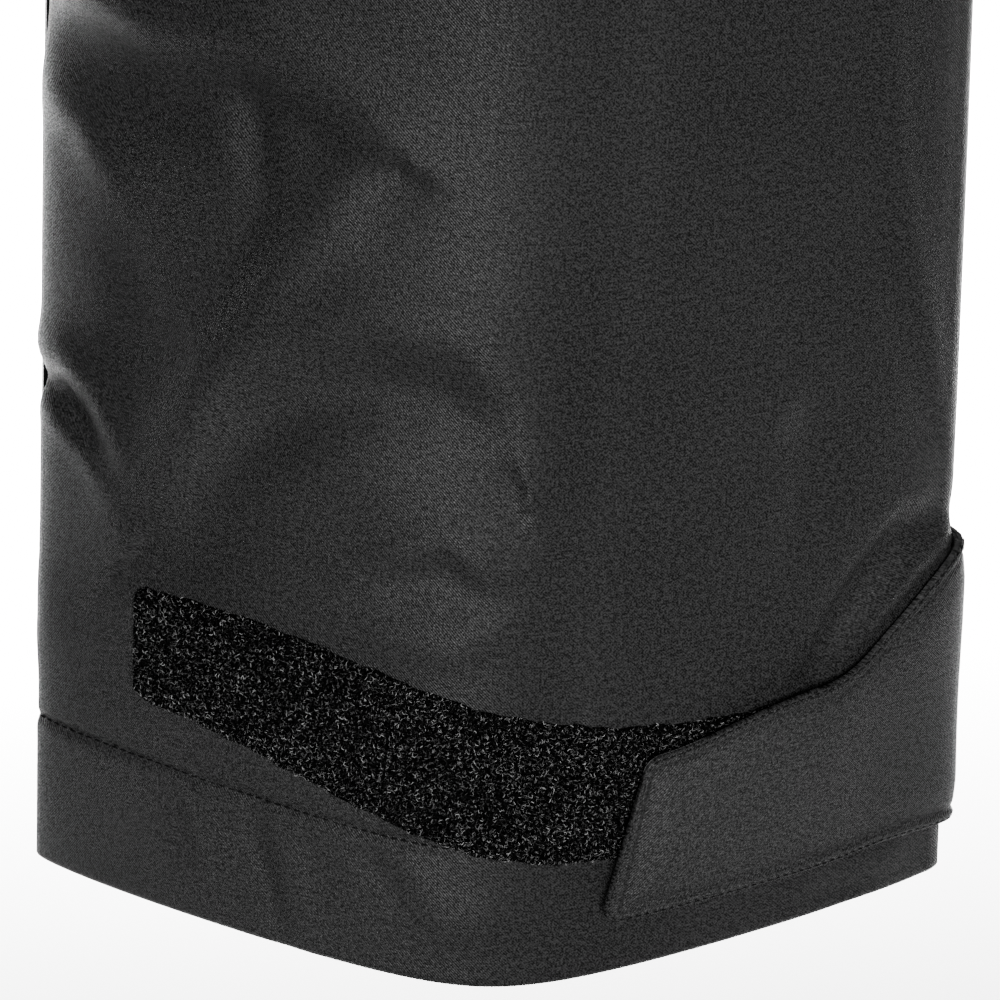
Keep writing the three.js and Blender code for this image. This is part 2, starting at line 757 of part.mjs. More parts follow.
function handPocket(name) {
  const group = new THREE.Group();
  const frame = pocketFrame();
  const rest = POCKET_ZIP_LENGTH / 2 - SLIDER_HEIGHT / 2 - 1;
  const tape = pocketTape();
  tape.applyMatrix4(frame);
  const runner = slider();
  runner.translate(0, 0, rest);
  runner.applyMatrix4(frame);
  const tag = puller();
  tag.translate(0, 0, rest);
  tag.applyMatrix4(frame);
  const bag = sheet(5, 6, (across, up, layer) => {
    const height = BAND_BOTTOM - 4 - (POCKET_ZIP_LENGTH + 44) * (1 - up);
    const angle = 0.5 + 0.52 * across;
    return sectionPoint(FRONT, angle, height, -9.6 - 2 * layer);
  });
  group.add(piece(`${name}PocketZip`, tape, 'zip'));
  group.add(piece(`${name}PocketSlider`, runner, 'metal'));
  group.add(piece(`${name}PocketPuller`, tag, 'metal'));
  group.add(piece(`${name}PocketBag`, bag, 'lining'));
  return group;
}

// ---- Waist ----
/** A strip round the waist between two angles. */
function bandStrip(columns, rows, from, to, low, high, offset, thickness) {
  return sheet(columns, rows, (across, up, layer) => {
    const angle = from + (to - from) * across;
    return bandPoint(angle, low + (high - low) * up, offset + thickness * (1 - layer));
  });
}

function waistband() {
  const group = new THREE.Group();
  const front = -Math.PI / 2;
  const gap = CENTRE_GAP / WAIST_HALF_WIDTH;
  const turn = 2 * Math.PI;
  const outer = bandStrip(28, 1, front + gap, front + turn - gap, BAND_BOTTOM, TOP, -SHELL, SHELL);
  const inside = -SHELL - LAYER_GAP - LINING;
  const facing = bandStrip(28, 1, front + gap, front + turn - gap, BAND_BOTTOM, TOP - 1, inside, LINING);
  group.add(piece('WaistbandShell', outer, 'shell'));
  group.add(piece('WaistbandFacing', facing, 'lining'));
  return group;
}

/** Layers under the waist tab: the stud's base and nub, then the socket. */
const SNAP_BASE = 1;
const SNAP_SOCKET = 1.6;
const TAB_OVER_SNAP = SNAP_BASE + SNAP_SOCKET + 5 * LAYER_GAP;

function waistTab() {
  const middle = TOP - BAND_HEIGHT / 2;
  return sheet(12, 2, (across, up, layer) => {
    const x = WAIST_TAB_ROOT + (WAIST_TAB_END - WAIST_TAB_ROOT) * across;
    const reach = WAIST_TAB_ROOT - x;
    const trim = endTrim(reach, WAIST_TAB_ROOT - WAIST_TAB_END, 14) * 0.8;
    const lift = LAYER_GAP + (TAB_OVER_SNAP - LAYER_GAP) * smooth(x, 30, -4);
    const height = middle + (BAND_HEIGHT / 2 - 2 - trim) * (2 * up - 1);
    return frontFace(x, height, lift + WEBBING * (1 - layer));
  });
}

/** Places a lathed part on the band's front, its axis along the outward normal. */
function onBand(geometry, x, offset) {
  const at = frontFace(x, TOP - BAND_HEIGHT / 2, offset);
  const normal = new THREE.Vector3(at.x / WAIST_HALF_WIDTH ** 2, at.y / WAIST_HALF_DEPTH ** 2, 0);
  const turn = new THREE.Quaternion();
  turn.setFromUnitVectors(new THREE.Vector3(0, 1, 0), normal.normalize());
  geometry.applyQuaternion(turn);
  geometry.translate(at.x, at.y, at.z);
  return geometry;
}

function snap() {
  const group = new THREE.Group();
  const x = WAIST_TAB_END + 16;
  const radius = SNAP_RADIUS;
  const nub = [[2.6, SNAP_BASE], [2.9, 2.2], [2.3, 2.8], [0, 2.8]];
  const base = disc([[0, 0], [radius, 0], [radius, SNAP_BASE], ...nub]);
  const ringProfile = [
    [3.3, 0], [radius - 0.6, 0], [radius, 0.5], [radius, SNAP_SOCKET], [3.3, SNAP_SOCKET], [3.3, 0],
  ];
  const socket = disc(ringProfile);
  const cap = disc([[0, 0], [radius, 0], [radius, 0.7], [radius - 1.4, 1.5], [4, 1.8], [0, 1.8]]);
  const post = disc([[0, 0], [radius - 1, 0], [radius - 1, 0.9], [0, 0.9]]);
  const socketAt = LAYER_GAP + SNAP_BASE + LAYER_GAP;
  group.add(piece('SnapStud', onBand(base, x, LAYER_GAP + 0.2), 'metal'));
  group.add(piece('SnapSocket', onBand(socket, x, socketAt + 0.3), 'metal'));
  group.add(piece('SnapCap', onBand(cap, x, TAB_OVER_SNAP + WEBBING + LAYER_GAP + 0.2), 'metal'));
  group.add(piece('SnapPost', onBand(post, x, -SHELL - 5 * LAYER_GAP - LINING - 1), 'metal'));
  return group;
}

const LOOP_OUTSIDE = [[0, -52], [LOOP_STAND_OFF - 2, -49], [LOOP_STAND_OFF, -45], [LOOP_STAND_OFF, -5]];
LOOP_OUTSIDE.push([LOOP_STAND_OFF - 2, -1.6], [0, 0]);
const LOOP_INSIDE = [[0, -49.6], [LOOP_STAND_OFF - 3.2, -47.2], [LOOP_STAND_OFF - WEBBING, -44]];
LOOP_INSIDE.push([LOOP_STAND_OFF - WEBBING, -6.4], [LOOP_STAND_OFF - 3.2, -3.8], [0, -2.4]);

/** A webbing loop that stands off the band: a bent strip from below the band to its top. */
function loopStrip(place) {
  const last = LOOP_OUTSIDE.length - 1;
  return sheet(2, last, (across, up, layer) => {
    const [out, height] = (layer === 0 ? LOOP_OUTSIDE : LOOP_INSIDE)[Math.round(up * last)];
    return place(LOOP_WIDTH * (across - 0.5), TOP + height - 1, LAYER_GAP + out);
  });
}

function beltLoop(share) {
  const side = share >= 0 ? FRONT : BACK;
  const middle = Math.abs(share) * girthTable(side, BAND_BOTTOM).total;
  return loopStrip((across, height, offset) => {
    return sectionPoint(side, angleAt(side, middle + across, BAND_BOTTOM), height, offset);
  });
}

function centreBackLoop() {
  return loopStrip((across, height, offset) => {
    return new THREE.Vector3(across, formAt(height).back + offset, height - TOP);
  });
}

/** The side adjuster's layers, measured round the band from the outseam. */
function adjusterLayer(from, to, height, low, thickness, rounded) {
  const steps = 10;
  const middle = TOP - BAND_HEIGHT / 2;
  return sheet(steps, 1, (across, up, layer) => {
    const distance = from + (to - from) * across;
    const side = distance >= 0 ? FRONT : BACK;
    const angle = angleAt(side, Math.abs(distance), BAND_BOTTOM);
    const trim = rounded ? endTrim(distance, to, 7) : 0;
    const level = middle + (height / 2 - trim) * (2 * up - 1);
    return sectionPoint(side, angle, level, low + thickness * (1 - layer));
  });
}

function adjuster(name) {
  const group = new THREE.Group();
  const hookLow = LAYER_GAP + PATCH + LAYER_GAP;
  const tabLowFace = hookLow + HOOK_TAPE + LAYER_GAP;
  const loopEnd = ADJUSTER_END + ADJUSTER_LOOP_PAST;
  const loop = adjusterLayer(ADJUSTER_LOOP_START, loopEnd, ADJUSTER_HEIGHT + 4, LAYER_GAP, PATCH, false);
  const hookEnd = ADJUSTER_END - ADJUSTER_HOOK_SETBACK;
  const hookStart = hookEnd - ADJUSTER_HOOK_LENGTH;
  const hook = adjusterLayer(hookStart, hookEnd, ADJUSTER_HEIGHT - 6, hookLow, HOOK_TAPE, false);
  const tab = adjusterLayer(ADJUSTER_ROOT, ADJUSTER_END, ADJUSTER_HEIGHT, tabLowFace, WEBBING, true);
  group.add(piece(`${name}AdjusterLoop`, loop, 'loop'));
  group.add(piece(`${name}AdjusterHook`, hook, 'hook'));
  group.add(piece(`${name}AdjusterTab`, tab, 'trim'));
  return group;
}

// ---- Thigh pocket ----
const THIGH_POCKET_FOOT = INSEAM - 210;
const THIGH_POCKET_MIDDLE = 52;
const POCKET_STAND = 1;

/** The pocket's crown: flat at the sewn edges, fullest below its middle. */
function crown(across, up) {
  const wide = Math.min(1, 4 * Math.min(across, 1 - across));
  const tall = Math.min(1, 4 * Math.min(up, 1 - up));
  return THIGH_POCKET_DEPTH * wide * tall;
}

function thighPocket() {
  const group = new THREE.Group();
  const spot = (across) => THIGH_POCKET_MIDDLE + THIGH_POCKET_WIDTH * (0.5 - across);
  const body = sheet(12, 8, (across, up, layer) => {
    const rise = THIGH_POCKET_FOOT + THIGH_POCKET_HEIGHT * up;
    const offset = POCKET_STAND + (layer === 1 ? 0 : WEBBING + crown(across, up));
    return skinRound(spot(across), rise, offset);
  });
  const flapTop = THIGH_POCKET_FOOT + THIGH_POCKET_HEIGHT + 10;
  const flapOver = (across, rise) => {
    const up = (rise - THIGH_POCKET_FOOT) / THIGH_POCKET_HEIGHT;
    const cover = up < 1.03 ? crown(across, Math.min(up, 1)) + WEBBING : 0;
    return POCKET_STAND + cover * smooth(rise, flapTop + 1, flapTop - 7);
  };
  const flap = sheet(12, 5, (across, up, layer) => {
    const rise = flapTop - THIGH_FLAP_HEIGHT * (1 - up);
    const trim = up === 0 ? 3 * Math.abs(2 * across - 1) ** 6 : 0;
    const lift = flapOver(across, rise) + 2 * LAYER_GAP + 2.6 * smooth(rise, flapTop - 3, flapTop - 13);
    return skinRound(spot(across), rise + trim, lift + WEBBING * (1 - layer));
  });
  const patch = (low) => sheet(4, 2, (across, up, layer) => {
    const share = THIGH_PATCH_FROM + (THIGH_PATCH_TO - THIGH_PATCH_FROM) * across;
    const rise = flapTop - THIGH_FLAP_HEIGHT + THIGH_PATCH_ABOVE + THIGH_PATCH_HEIGHT * up;
    const over = flapOver(share, rise);
    return skinRound(spot(share), rise, over + low + LOOP_TAPE * (1 - layer));
  });
  group.add(piece('ThighPocket', body, 'shell'));
  group.add(piece('ThighPocketFlap', flap, 'shell'));
  group.add(piece('ThighPocketLoop', patch(LAYER_GAP), 'loop'));
  group.add(piece('ThighPocketHook', patch(LOOP_TAPE + 2 * LAYER_GAP), 'hook'));
  return group;
}

// ---- Assembly ----
function half(name) {
  const group = new THREE.Group();
  group.add(piece(`${name}FrontPanel`, frontPanel(), 'shell'));
  group.add(piece(`${name}BackPanel`, panel(BACK), 'shell'));
  group.add(piece(`${name}Yoke`, yoke(), 'shell'));
  group.add(piece(`${name}Lining`, lining(), 'lining'));
  group.add(piece(`${name}HemFacing`, hemFacing(), 'lining'));
  group.add(piece(`${name}GaiterSleeve`, gaiter(), 'lining'));
  group.add(piece(`${name}GaiterElastic`, gaiterElastic(), 'trim'));
  group.add(piece(`${name}LaceHook`, laceHook(), 'metal'));
  group.add(cuff(name));
  group.add(handPocket(name));
  group.add(adjuster(name));
  group.add(piece(`${name}FrontBeltLoop`, beltLoop(FRONT_LOOP_SHARE), 'trim'));
  group.add(piece(`${name}RearBeltLoop`, beltLoop(-REAR_LOOP_SHARE), 'trim'));
  return group;
}

const pants = new THREE.Group();
pants.name = 'SkiPants';
const rightHalf = half('Right');
rightHalf.add(thighPocket());
rightHalf.scale.x = -1;
pants.add(half('Left'));
pants.add(rightHalf);
pants.add(waistband());
pants.add(piece('WaistTab', waistTab(), 'trim'));
pants.add(snap());
pants.add(fly());
pants.add(piece('BackBeltLoop', centreBackLoop(), 'trim'));

export default pants;
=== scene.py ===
"""Looks for a pair of ski pants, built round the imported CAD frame.

Sizes are millimetres in the garment's own terms: "around" is the distance round a leg from its
outseam (front positive, back negative) and "up" is the distance up the cloth from the hem's edge.
Everything is handed to Blender in metres, in the frame of the CAD part: the origin is the centre
of the waist opening, +Z up, the wearer's left at +X, facing -Y.
"""

import json
import logging
import math
from dataclasses import dataclass, field
from enum import Enum
from typing import Callable, Iterable, Optional, Sequence

import bmesh
import bpy
import numpy as np
from mathutils import Matrix, Vector

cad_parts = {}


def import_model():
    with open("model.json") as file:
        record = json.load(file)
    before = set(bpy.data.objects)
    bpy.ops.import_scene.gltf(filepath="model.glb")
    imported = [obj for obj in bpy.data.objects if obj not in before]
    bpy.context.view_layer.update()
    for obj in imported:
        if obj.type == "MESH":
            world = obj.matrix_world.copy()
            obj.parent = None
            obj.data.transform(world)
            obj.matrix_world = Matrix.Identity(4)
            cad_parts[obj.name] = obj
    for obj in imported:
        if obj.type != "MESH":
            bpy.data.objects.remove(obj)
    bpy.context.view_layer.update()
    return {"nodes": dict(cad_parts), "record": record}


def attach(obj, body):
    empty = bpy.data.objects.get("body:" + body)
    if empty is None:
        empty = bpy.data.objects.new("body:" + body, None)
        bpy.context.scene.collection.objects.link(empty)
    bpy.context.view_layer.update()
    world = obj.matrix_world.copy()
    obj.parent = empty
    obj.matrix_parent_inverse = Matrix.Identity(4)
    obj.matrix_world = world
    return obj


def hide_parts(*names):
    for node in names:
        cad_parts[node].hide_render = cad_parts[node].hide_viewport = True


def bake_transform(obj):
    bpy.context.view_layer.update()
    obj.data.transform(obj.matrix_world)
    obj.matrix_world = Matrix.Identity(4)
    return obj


LOG = logging.getLogger("ski_pants")
MM = 0.001
Array = np.ndarray


class Side(Enum):
    """Which half of the garment a piece belongs to, with the sign of its X."""

    LEFT = 1
    RIGHT = -1

    @property
    def word(self) -> str:
        """The side's name as the CAD nodes spell it."""
        return self.name.capitalize()

    @property
    def body(self) -> str:
        """The side's name as the CAD bodies spell it."""
        return self.name.lower()


class Profile(Enum):
    """How a fold's height falls away from its line."""

    RIDGE = "ridge"
    STEP = "step"


def smooth(value: Array, start: float, end: float) -> Array:
    """Eases from 0 at start to 1 at end."""
    t = np.clip((np.asarray(value, float) - start) / (end - start), 0, 1)
    return t * t * (3 - 2 * t)


def roof(across: Array) -> Array:
    """A soft roof: 1 in the middle, 0 at -1 and 1, with nearly straight sides."""
    soft = 0.2
    rise = np.sqrt(across * across + soft * soft) - soft
    return 1 - rise / (math.sqrt(1 + soft * soft) - soft)


def spread(*runs: tuple[float, float, float]) -> Array:
    """Stops along a line, from runs of (start, end, step), without doubles.

    Args:
        runs: each run's start, end and wanted step.

    Returns:
        The stops in rising order.
    """
    stops: list[float] = []
    for start, end, step in runs:
        count = max(1, round((end - start) / step))
        stops.extend(np.linspace(start, end, count + 1)[(1 if stops else 0):])
    return np.array(stops)


def graded(length: float, step: float, edge: float = 5.0) -> Array:
    """Stops along a strip, close together near both ends, where its edge rolls over.

    Args:
        length: the strip's length.
        step: the spacing away from its ends.
        edge: how far in from each end the close stops go.

    Returns:
        The stops from 0 to length.
    """
    close = np.array([0, 0.12, 0.35, 0.7, 1.1, 1.6, 2.2, 2.8, 3.4, 4.2, 5.0]) * edge / 5
    middle = spread((edge, length - edge, step))[1:-1]
    return np.concatenate([close, middle, (length - close)[::-1]])


# ---------------------------------------------------------------------------------------------
# The leg's form, the same rule as the CAD source
# ---------------------------------------------------------------------------------------------
@dataclass(frozen=True)
class LegForm:
    """The shell's outer face on the wearer's left, as a station table and the rule between."""

    inseam: float = 760
    rise: float = 300
    band: float = 40
    waist_width: float = 162
    waist_depth: float = 117
    centre_gap: float = 0.3
    fly_gap: float = 4.2
    fly_length: float = 168
    front_dip: float = 16
    back_dip: float = 5
    stations: tuple[tuple[float, ...], ...] = (
        (0, 282, 151, 62, 48, 30, 0.75),
        (270, 279, 152, 70, 56, 6, 0.6),
        (440, 266, 144, 84, 70, -10, 0.35),
        (600, 244, 128, 98, 92, -2, 0.1),
        (760, 220, 110, 112, 120, 4, 0),
        (850, 216, 0, 117, 148, 0, 0),
        (1020, 162, 0, 117, 117, 0, 0),
    )

    @property
    def top(self) -> float:
        """Height of the waistband's top edge above the hem's level."""
        return self.inseam + self.rise

    @property
    def band_foot(self) -> float:
        """Height of the waistband's lower edge above the hem's level."""
        return self.top - self.band

    def __post_init__(self) -> None:
        """Works out the slopes and the table that turns a share of the girth into an angle."""
        table = np.array(self.stations, float)
        heights, values = table[:, 0], table[:, 1:]
        secants = np.diff(values, axis=0) / np.diff(heights)[:, None]
        before, after = secants[:-1], secants[1:]
        total = np.where(before * after > 0, before + after, 1)
        middle = np.where(before * after > 0, 2 * before * after / total, 0)
        slopes = np.vstack([secants[:1], middle, secants[-1:]])
        object.__setattr__(self, "_heights", heights)
        object.__setattr__(self, "_values", values)
        object.__setattr__(self, "_slopes", slopes)
        levels = np.arange(-60, self.top + 8, 4.0)
        object.__setattr__(self, "_levels", levels)
        shares = np.linspace(0, 1, 97)
        tables = {}
        for side in (-1, 1):
            angles = np.zeros((len(levels), len(shares)))
            girths = np.zeros(len(levels))
            for row, level in enumerate(levels):
                sweep = np.linspace(0, float(self._sweep(side, level)), 129)
                ring = self.section(side, sweep, np.full(129, level), 0)
                arc = np.concatenate([[0], np.cumsum(np.linalg.norm(np.diff(ring, axis=0), axis=1))])
                girths[row] = arc[-1]
                angles[row] = np.interp(shares * arc[-1], arc, sweep)
            tables[side] = (angles, girths)
        object.__setattr__(self, "_tables", tables)

    def sizes(self, height: Array) -> Array:
        """Half width, centre, front depth, back depth, lean and crease at each height."""
        height = np.minimum(np.asarray(height, float), self._heights[-1])
        index = np.clip(np.searchsorted(self._heights, height, side="right") - 1, 0, len(self._heights) - 2)
        span = (self._heights[index + 1] - self._heights[index])[..., None]
        t = (height - self._heights[index])[..., None] / span
        low, high = self._values[index], self._values[index + 1]
        leave, arrive = self._slopes[index] * span, self._slopes[index + 1] * span
        eased = (2 * t**3 - 3 * t**2 + 1) * low + (3 * t**2 - 2 * t**3) * high
        eased = eased + (t**3 - 2 * t**2 + t) * leave + (t**3 - t**2) * arrive
        found = np.where(t < 0, low + leave * t, eased)
        found[..., 0] = found[..., 0] - found[..., 1]
        return found

    def _sweep(self, side: int, level: float) -> float:
        """The largest angle round from the outseam: to the inseam, or to the centre seam."""
        half, centre = self.sizes(np.array(level))[:2]
        foot = self.band_foot - self.fly_length
        gap = self.centre_gap
        if side < 0:
            gap += (self.fly_gap - gap) * float(smooth(level, foot - 14, foot + 2))
        return math.acos(max((gap - centre) / half, -1))

    def section(self, side: Array, angle: Array, height: Array, offset: Array) -> Array:
        """Points on the section, offset outwards; side is -1 for the front and 1 for the back."""
        found = self.sizes(height)
        half, centre, front, back, lean, crease = np.moveaxis(found, -1, 0)
        across = np.cos(angle)
        bulge = (1 - crease) * np.abs(np.sin(angle)) + crease * roof(across)
        depth = np.where(np.asarray(side) < 0, front, back) + offset
        x = centre + (half + offset) * across
        y = lean + side * np.maximum(depth * bulge, 0.05)
        return np.stack(np.broadcast_arrays(x, y, np.asarray(height, float) - self.top), -1)

    def _look_up(self, side: Array, height: Array) -> tuple[Array, Array, Array]:
        """Row indexes into the tables, the part of the way to the next, and the front mask."""
        place = np.clip((height - self._levels[0]) / 4.0, 0, len(self._levels) - 1.001)
        row = place.astype(int)
        return row, place - row, np.asarray(side) < 0

    def girth(self, side: Array, height: Array) -> Array:
        """Distance round one side of the leg, from the outseam to its other edge."""
        row, part, front = self._look_up(side, np.asarray(height, float))
        found = []
        for key in (-1, 1):
            girths = self._tables[key][1]
            found.append(girths[row] * (1 - part) + girths[row + 1] * part)
        return np.where(front, found[0], found[1])

    def angle(self, side: Array, share: Array, height: Array) -> Array:
        """Angle from the outseam at a share of the way round."""
        row, part, front = self._look_up(side, np.asarray(height, float))
        place = np.clip(share, 0, 1) * 96
        column = np.minimum(place.astype(int), 95)
        beside = place - column
        found = []
        for key in (-1, 1):
            angles = self._tables[key][0]
            low = angles[row, column] * (1 - beside) + angles[row, column + 1] * beside
            high = angles[row + 1, column] * (1 - beside) + angles[row + 1, column + 1] * beside
            found.append(low * (1 - part) + high * part)
        return np.where(front, found[0], found[1])

    def dip(self, share: Array, up: Array) -> Array:
        """How far the cloth hangs below its seams; fades out up the leg."""
        depth = np.where(share >= 0, self.front_dip, self.back_dip)
        return depth * roof(2 * np.abs(share) - 1) * np.maximum(0, 1 - up / 400)


# ---------------------------------------------------------------------------------------------
# Folds and the skin that carries them
# ---------------------------------------------------------------------------------------------
@dataclass(frozen=True)
class Fold:
    """One fold in the cloth: a line on the leg, how high it stands and how wide it is.

    Args:
        line: the fold's points as (around, up).
        height: how far it stands out, or in if negative. A step is high to the left of its run.
        width: distance over which it falls away.
        profile: ridge or step.
        ends: how much of its height it loses at its two ends.
    """

    line: tuple[tuple[float, float], ...]
    height: float
    width: float
    profile: Profile = Profile.RIDGE
    ends: float = 0.8

    def rise_at(self, around: Array, up: Array) -> Array:
        """The fold's height at each point."""
        points = np.array(self.line, float)
        steps = np.diff(points, axis=0)
        lengths = np.linalg.norm(steps, axis=1)
        run = np.concatenate([[0], np.cumsum(lengths)])
        nearest = np.full(around.shape, np.inf)
        signed = np.zeros(around.shape)
        along = np.zeros(around.shape)
        for index, (start, step) in enumerate(zip(points[:-1], steps)):
            dx, dy = around - start[0], up - start[1]
            t = np.clip((dx * step[0] + dy * step[1]) / lengths[index] ** 2, 0, 1)
            gap = np.hypot(dx - t * step[0], dy - t * step[1])
            turn = np.sign(step[0] * dy - step[1] * dx)
            closer = gap < nearest
            nearest = np.where(closer, gap, nearest)
            signed = np.where(closer, gap * turn, signed)
            along = np.where(closer, (run[index] + t * lengths[index]) / run[-1], along)
        taper = 1 - self.ends * (2 * along - 1) ** 2
        fall = np.exp(-((nearest / self.width) ** 2))
        if self.profile is Profile.RIDGE:
            return self.height * taper * fall
        return self.height * taper * 1.6 * (signed / self.width) * fall


@dataclass(frozen=True)
class Folds:
    """The folds of one leg, listed one by one near the cuff and by rule further up."""

    cuff: tuple[Fold, ...] = (
        # the shelf over the front of the ankle, and the hollows beside it
        Fold(((252, 118), (237, 143), (222, 160), (204, 174), (186, 181), (162, 180), (149, 168), (146, 158)),
             -3.4, 15, Profile.STEP, 0.5),
        Fold(((238, 128), (200, 150), (172, 150)), 1.3, 14),
        Fold(((184, 116), (163, 127), (150, 118), (140, 122)), -1.5, 8, Profile.STEP),
        Fold(((188, 101), (160, 101), (138, 117)), 1.1, 7),
        # hollows high on the inner side, with the long ridge that runs down from them
        Fold(((284, 262), (254, 250), (223, 254), (205, 247), (186, 238)), -3.6, 13, Profile.STEP, 0.4),
        Fold(((294, 236), (276, 228), (264, 210)), 1.5, 7),
        Fold(((226, 246), (219, 222)), -2.0, 6),
        Fold(
            ((186, 240), (199, 216), (219, 194), (232, 172), (241, 147), (246, 128)),
            2.0,
            9,
            Profile.RIDGE,
            0.5,
        ),
        Fold(((215, 226), (224, 199), (236, 168)), -1.2, 7),
        Fold(((262, 200), (258, 176), (268, 160)), -1.0, 8),
        # the nick in the inner edge and its short folds
        Fold(((300, 160), (284, 160), (270, 151), (258, 128)), 1.7, 6),
        Fold(((300, 151), (284, 146), (268, 132)), -2.6, 5),
        Fold(((294, 143), (276, 134), (262, 118)), 1.1, 5),
        # soft planes on the outer side
        Fold(((112, 320), (110, 210), (116, 150), (122, 84)), -0.9, 13, Profile.STEP, 0.2),
        Fold(((58, 154), (53, 136), (56, 112)), -2.3, 7),
        Fold(((66, 190), (70, 168)), -1.2, 6),
        Fold(((62, 166), (70, 150)), 1.1, 6),
        Fold(((44, 300), (36, 226), (27, 190), (12, 146)), -0.9, 6, Profile.STEP, 0.3),
        Fold(((4, 112), (20, 112), (32, 102), (41, 92), (50, 76)), -3.0, 5.5, Profile.RIDGE, 0.4),
        Fold(((2, 104), (18, 101), (31, 91), (44, 78)), 2.2, 5),
        # puckers in the turn-up
        Fold(((247, 43), (237, 14)), -0.9, 4),
        Fold(((238, 44), (226, 12)), 1.1, 5),
        Fold(((220, 43), (207, 0)), -1.0, 4),
        Fold(((212, 40), (200, 4)), 0.7, 5),
        Fold(((188, 40), (170, 22)), -0.5, 5),
        Fold(((176, 36), (158, 20), (138, 22)), 0.8, 8),
        Fold(((36, 16), (16, 8)), 1.0, 5),
        Fold(((48, 8), (30, 2)), -0.8, 4),
        Fold(((300, 60), (288, 76), (292, 96)), 0.6, 8),
    )
    seed: int = 11
    strength: float = 1.3

    def upper(self, seed: int) -> list[Fold]:
        """Folds by rule for the knee, thigh and hip, which differ from leg to leg."""
        rng = np.random.default_rng(seed)
        made: list[Fold] = []
        zones = (
            (310, 420, 10, 0.5, 1.0),
            (400, 520, 14, 0.35, 1.3),
            (520, 740, 14, 0.9, 1.0),
            (740, 940, 10, 0.7, 0.8),
        )
        for low, high, count, steep, strength in zones:
            for _ in range(count):
                back = rng.random() < 0.45
                middle = rng.uniform(20, 270) * (-1 if back else 1)
                level = rng.uniform(low, high)
                reach = rng.uniform(28, 75)
                tilt = rng.uniform(-1, 1) * steep
                bend = rng.uniform(-14, 14)
                line = (
                    (middle - reach * math.cos(tilt), level - reach * math.sin(tilt)),
                    (middle, level + bend),
                    (middle + reach * math.cos(tilt), level + reach * math.sin(tilt)),
                )
                kind = Profile.STEP if rng.random() < 0.5 else Profile.RIDGE
                height = rng.uniform(1.2, 3.4) * strength * rng.choice([-1, 1])
                made.append(Fold(line, height, rng.uniform(9, 20), kind, 1.0))
        return made

    def rule(self, side: Side) -> Callable[[Array, Array], Array]:
        """The whole relief of one leg as a function of around and up."""
        strength = self.strength * (1.0 if side is Side.LEFT else 0.8)
        front = [Fold(f.line, f.height * strength, f.width, f.profile, f.ends) for f in self.cuff]
        upper = self.upper(self.seed if side is Side.LEFT else self.seed + 5)
        back = self.upper(self.seed + 20 + side.value)

        def relief(around: Array, up: Array) -> Array:
            """Sum of the folds' heights at each point."""
            total = np.zeros(np.broadcast(around, up).shape)
            for fold in front:
                reach = np.array(fold.line)
                near = (up > reach[:, 1].min() - 60) & (up < reach[:, 1].max() + 60) & (around > -4)
                if near.any():
                    total[near] += fold.rise_at(around[near], up[near])
            for fold in upper + back:
                reach = np.array(fold.line)
                near = (up > reach[:, 1].min() - 70) & (up < reach[:, 1].max() + 70)
                same = (around >= 0) if reach[1, 0] >= 0 else (around < 0)
                near = near & same
                if near.any():
                    total[near] += fold.rise_at(around[near], up[near])
            calm = smooth(np.abs(around), 0, 14) * (1 - smooth(up, 950, 1015))
            low = up < 300
            calm = np.where(low, np.maximum(calm, 0.35), calm)
            return total * calm

        return relief


@dataclass
class Skin:
    """The shell's outer face of one leg, with its folds."""

    form: LegForm
    side: Side
    relief: Callable[[Array, Array], Array]

    def at_share(self, share: Array, up: Array, offset: Array = 0.0, folded: float = 1.0) -> Array:
        """Points on the skin.

        Args:
            share: 0 at the outseam, 1 at the front's other edge and -1 at the back's.
            up: distance up the cloth from the hem.
            offset: distance outwards.
            folded: how much of the folds it follows.

        Returns:
            Points in millimetres, mirrored for the right leg.
        """
        share, up, offset = np.broadcast_arrays(
            np.asarray(share, float), np.asarray(up, float), np.asarray(offset, float)
        )
        face = np.where(share >= 0, -1, 1)
        height = up - self.form.dip(share, up)
        angle = self.form.angle(face, np.abs(share), height)
        if folded:
            around = share * self.form.girth(face, height)
            seam = smooth(1 - np.abs(share), 0.0, 0.09)
            calm = 1 - (1 - seam) * smooth(up, 560, 720)
            offset = offset + folded * calm * self.relief(around, up)
        points = self.form.section(face, angle, height, offset)
        points[..., 0] *= self.side.value
        return points

    def at(self, around: Array, up: Array, offset: Array = 0.0, folded: float = 1.0) -> Array:
        """The same, from distances round the leg."""
        around, up = np.broadcast_arrays(np.asarray(around, float), np.asarray(up, float))
        face = np.where(around >= 0, -1, 1)
        share = around / self.form.girth(face, up)
        return self.at_share(np.where(around >= 0, share, np.minimum(share, -1e-9)), up, offset, folded)


# ---------------------------------------------------------------------------------------------
# Meshes
# ---------------------------------------------------------------------------------------------
def new_object(
    name: str, points: Array, faces: Sequence[Sequence[int]], uv: Optional[Array] = None
) -> bpy.types.Object:
    """Makes a smooth-shaded object from points in millimetres.

    Args:
        name: the piece's name.
        points: an array of points.
        faces: corner indexes, anticlockwise from outside.
        uv: cloth coordinates in millimetres for each point.

    Returns:
        The new object, at the origin.
    """
    mesh = bpy.data.meshes.new(name)
    mesh.from_pydata((np.asarray(points) * MM).tolist(), [], [list(f) for f in faces])
    mesh.validate()
    if uv is not None:
        layer = mesh.uv_layers.new(name="cloth")
        corners = np.zeros(len(mesh.loops), int)
        mesh.loops.foreach_get("vertex_index", corners)
        layer.data.foreach_set("uv", (np.asarray(uv)[corners] * MM).ravel().astype(np.float32))
    mesh.polygons.foreach_set("use_smooth", np.ones(len(mesh.polygons), bool))
    mesh.update()
    made = bpy.data.objects.new(name, mesh)
    bpy.context.scene.collection.objects.link(made)
    return made


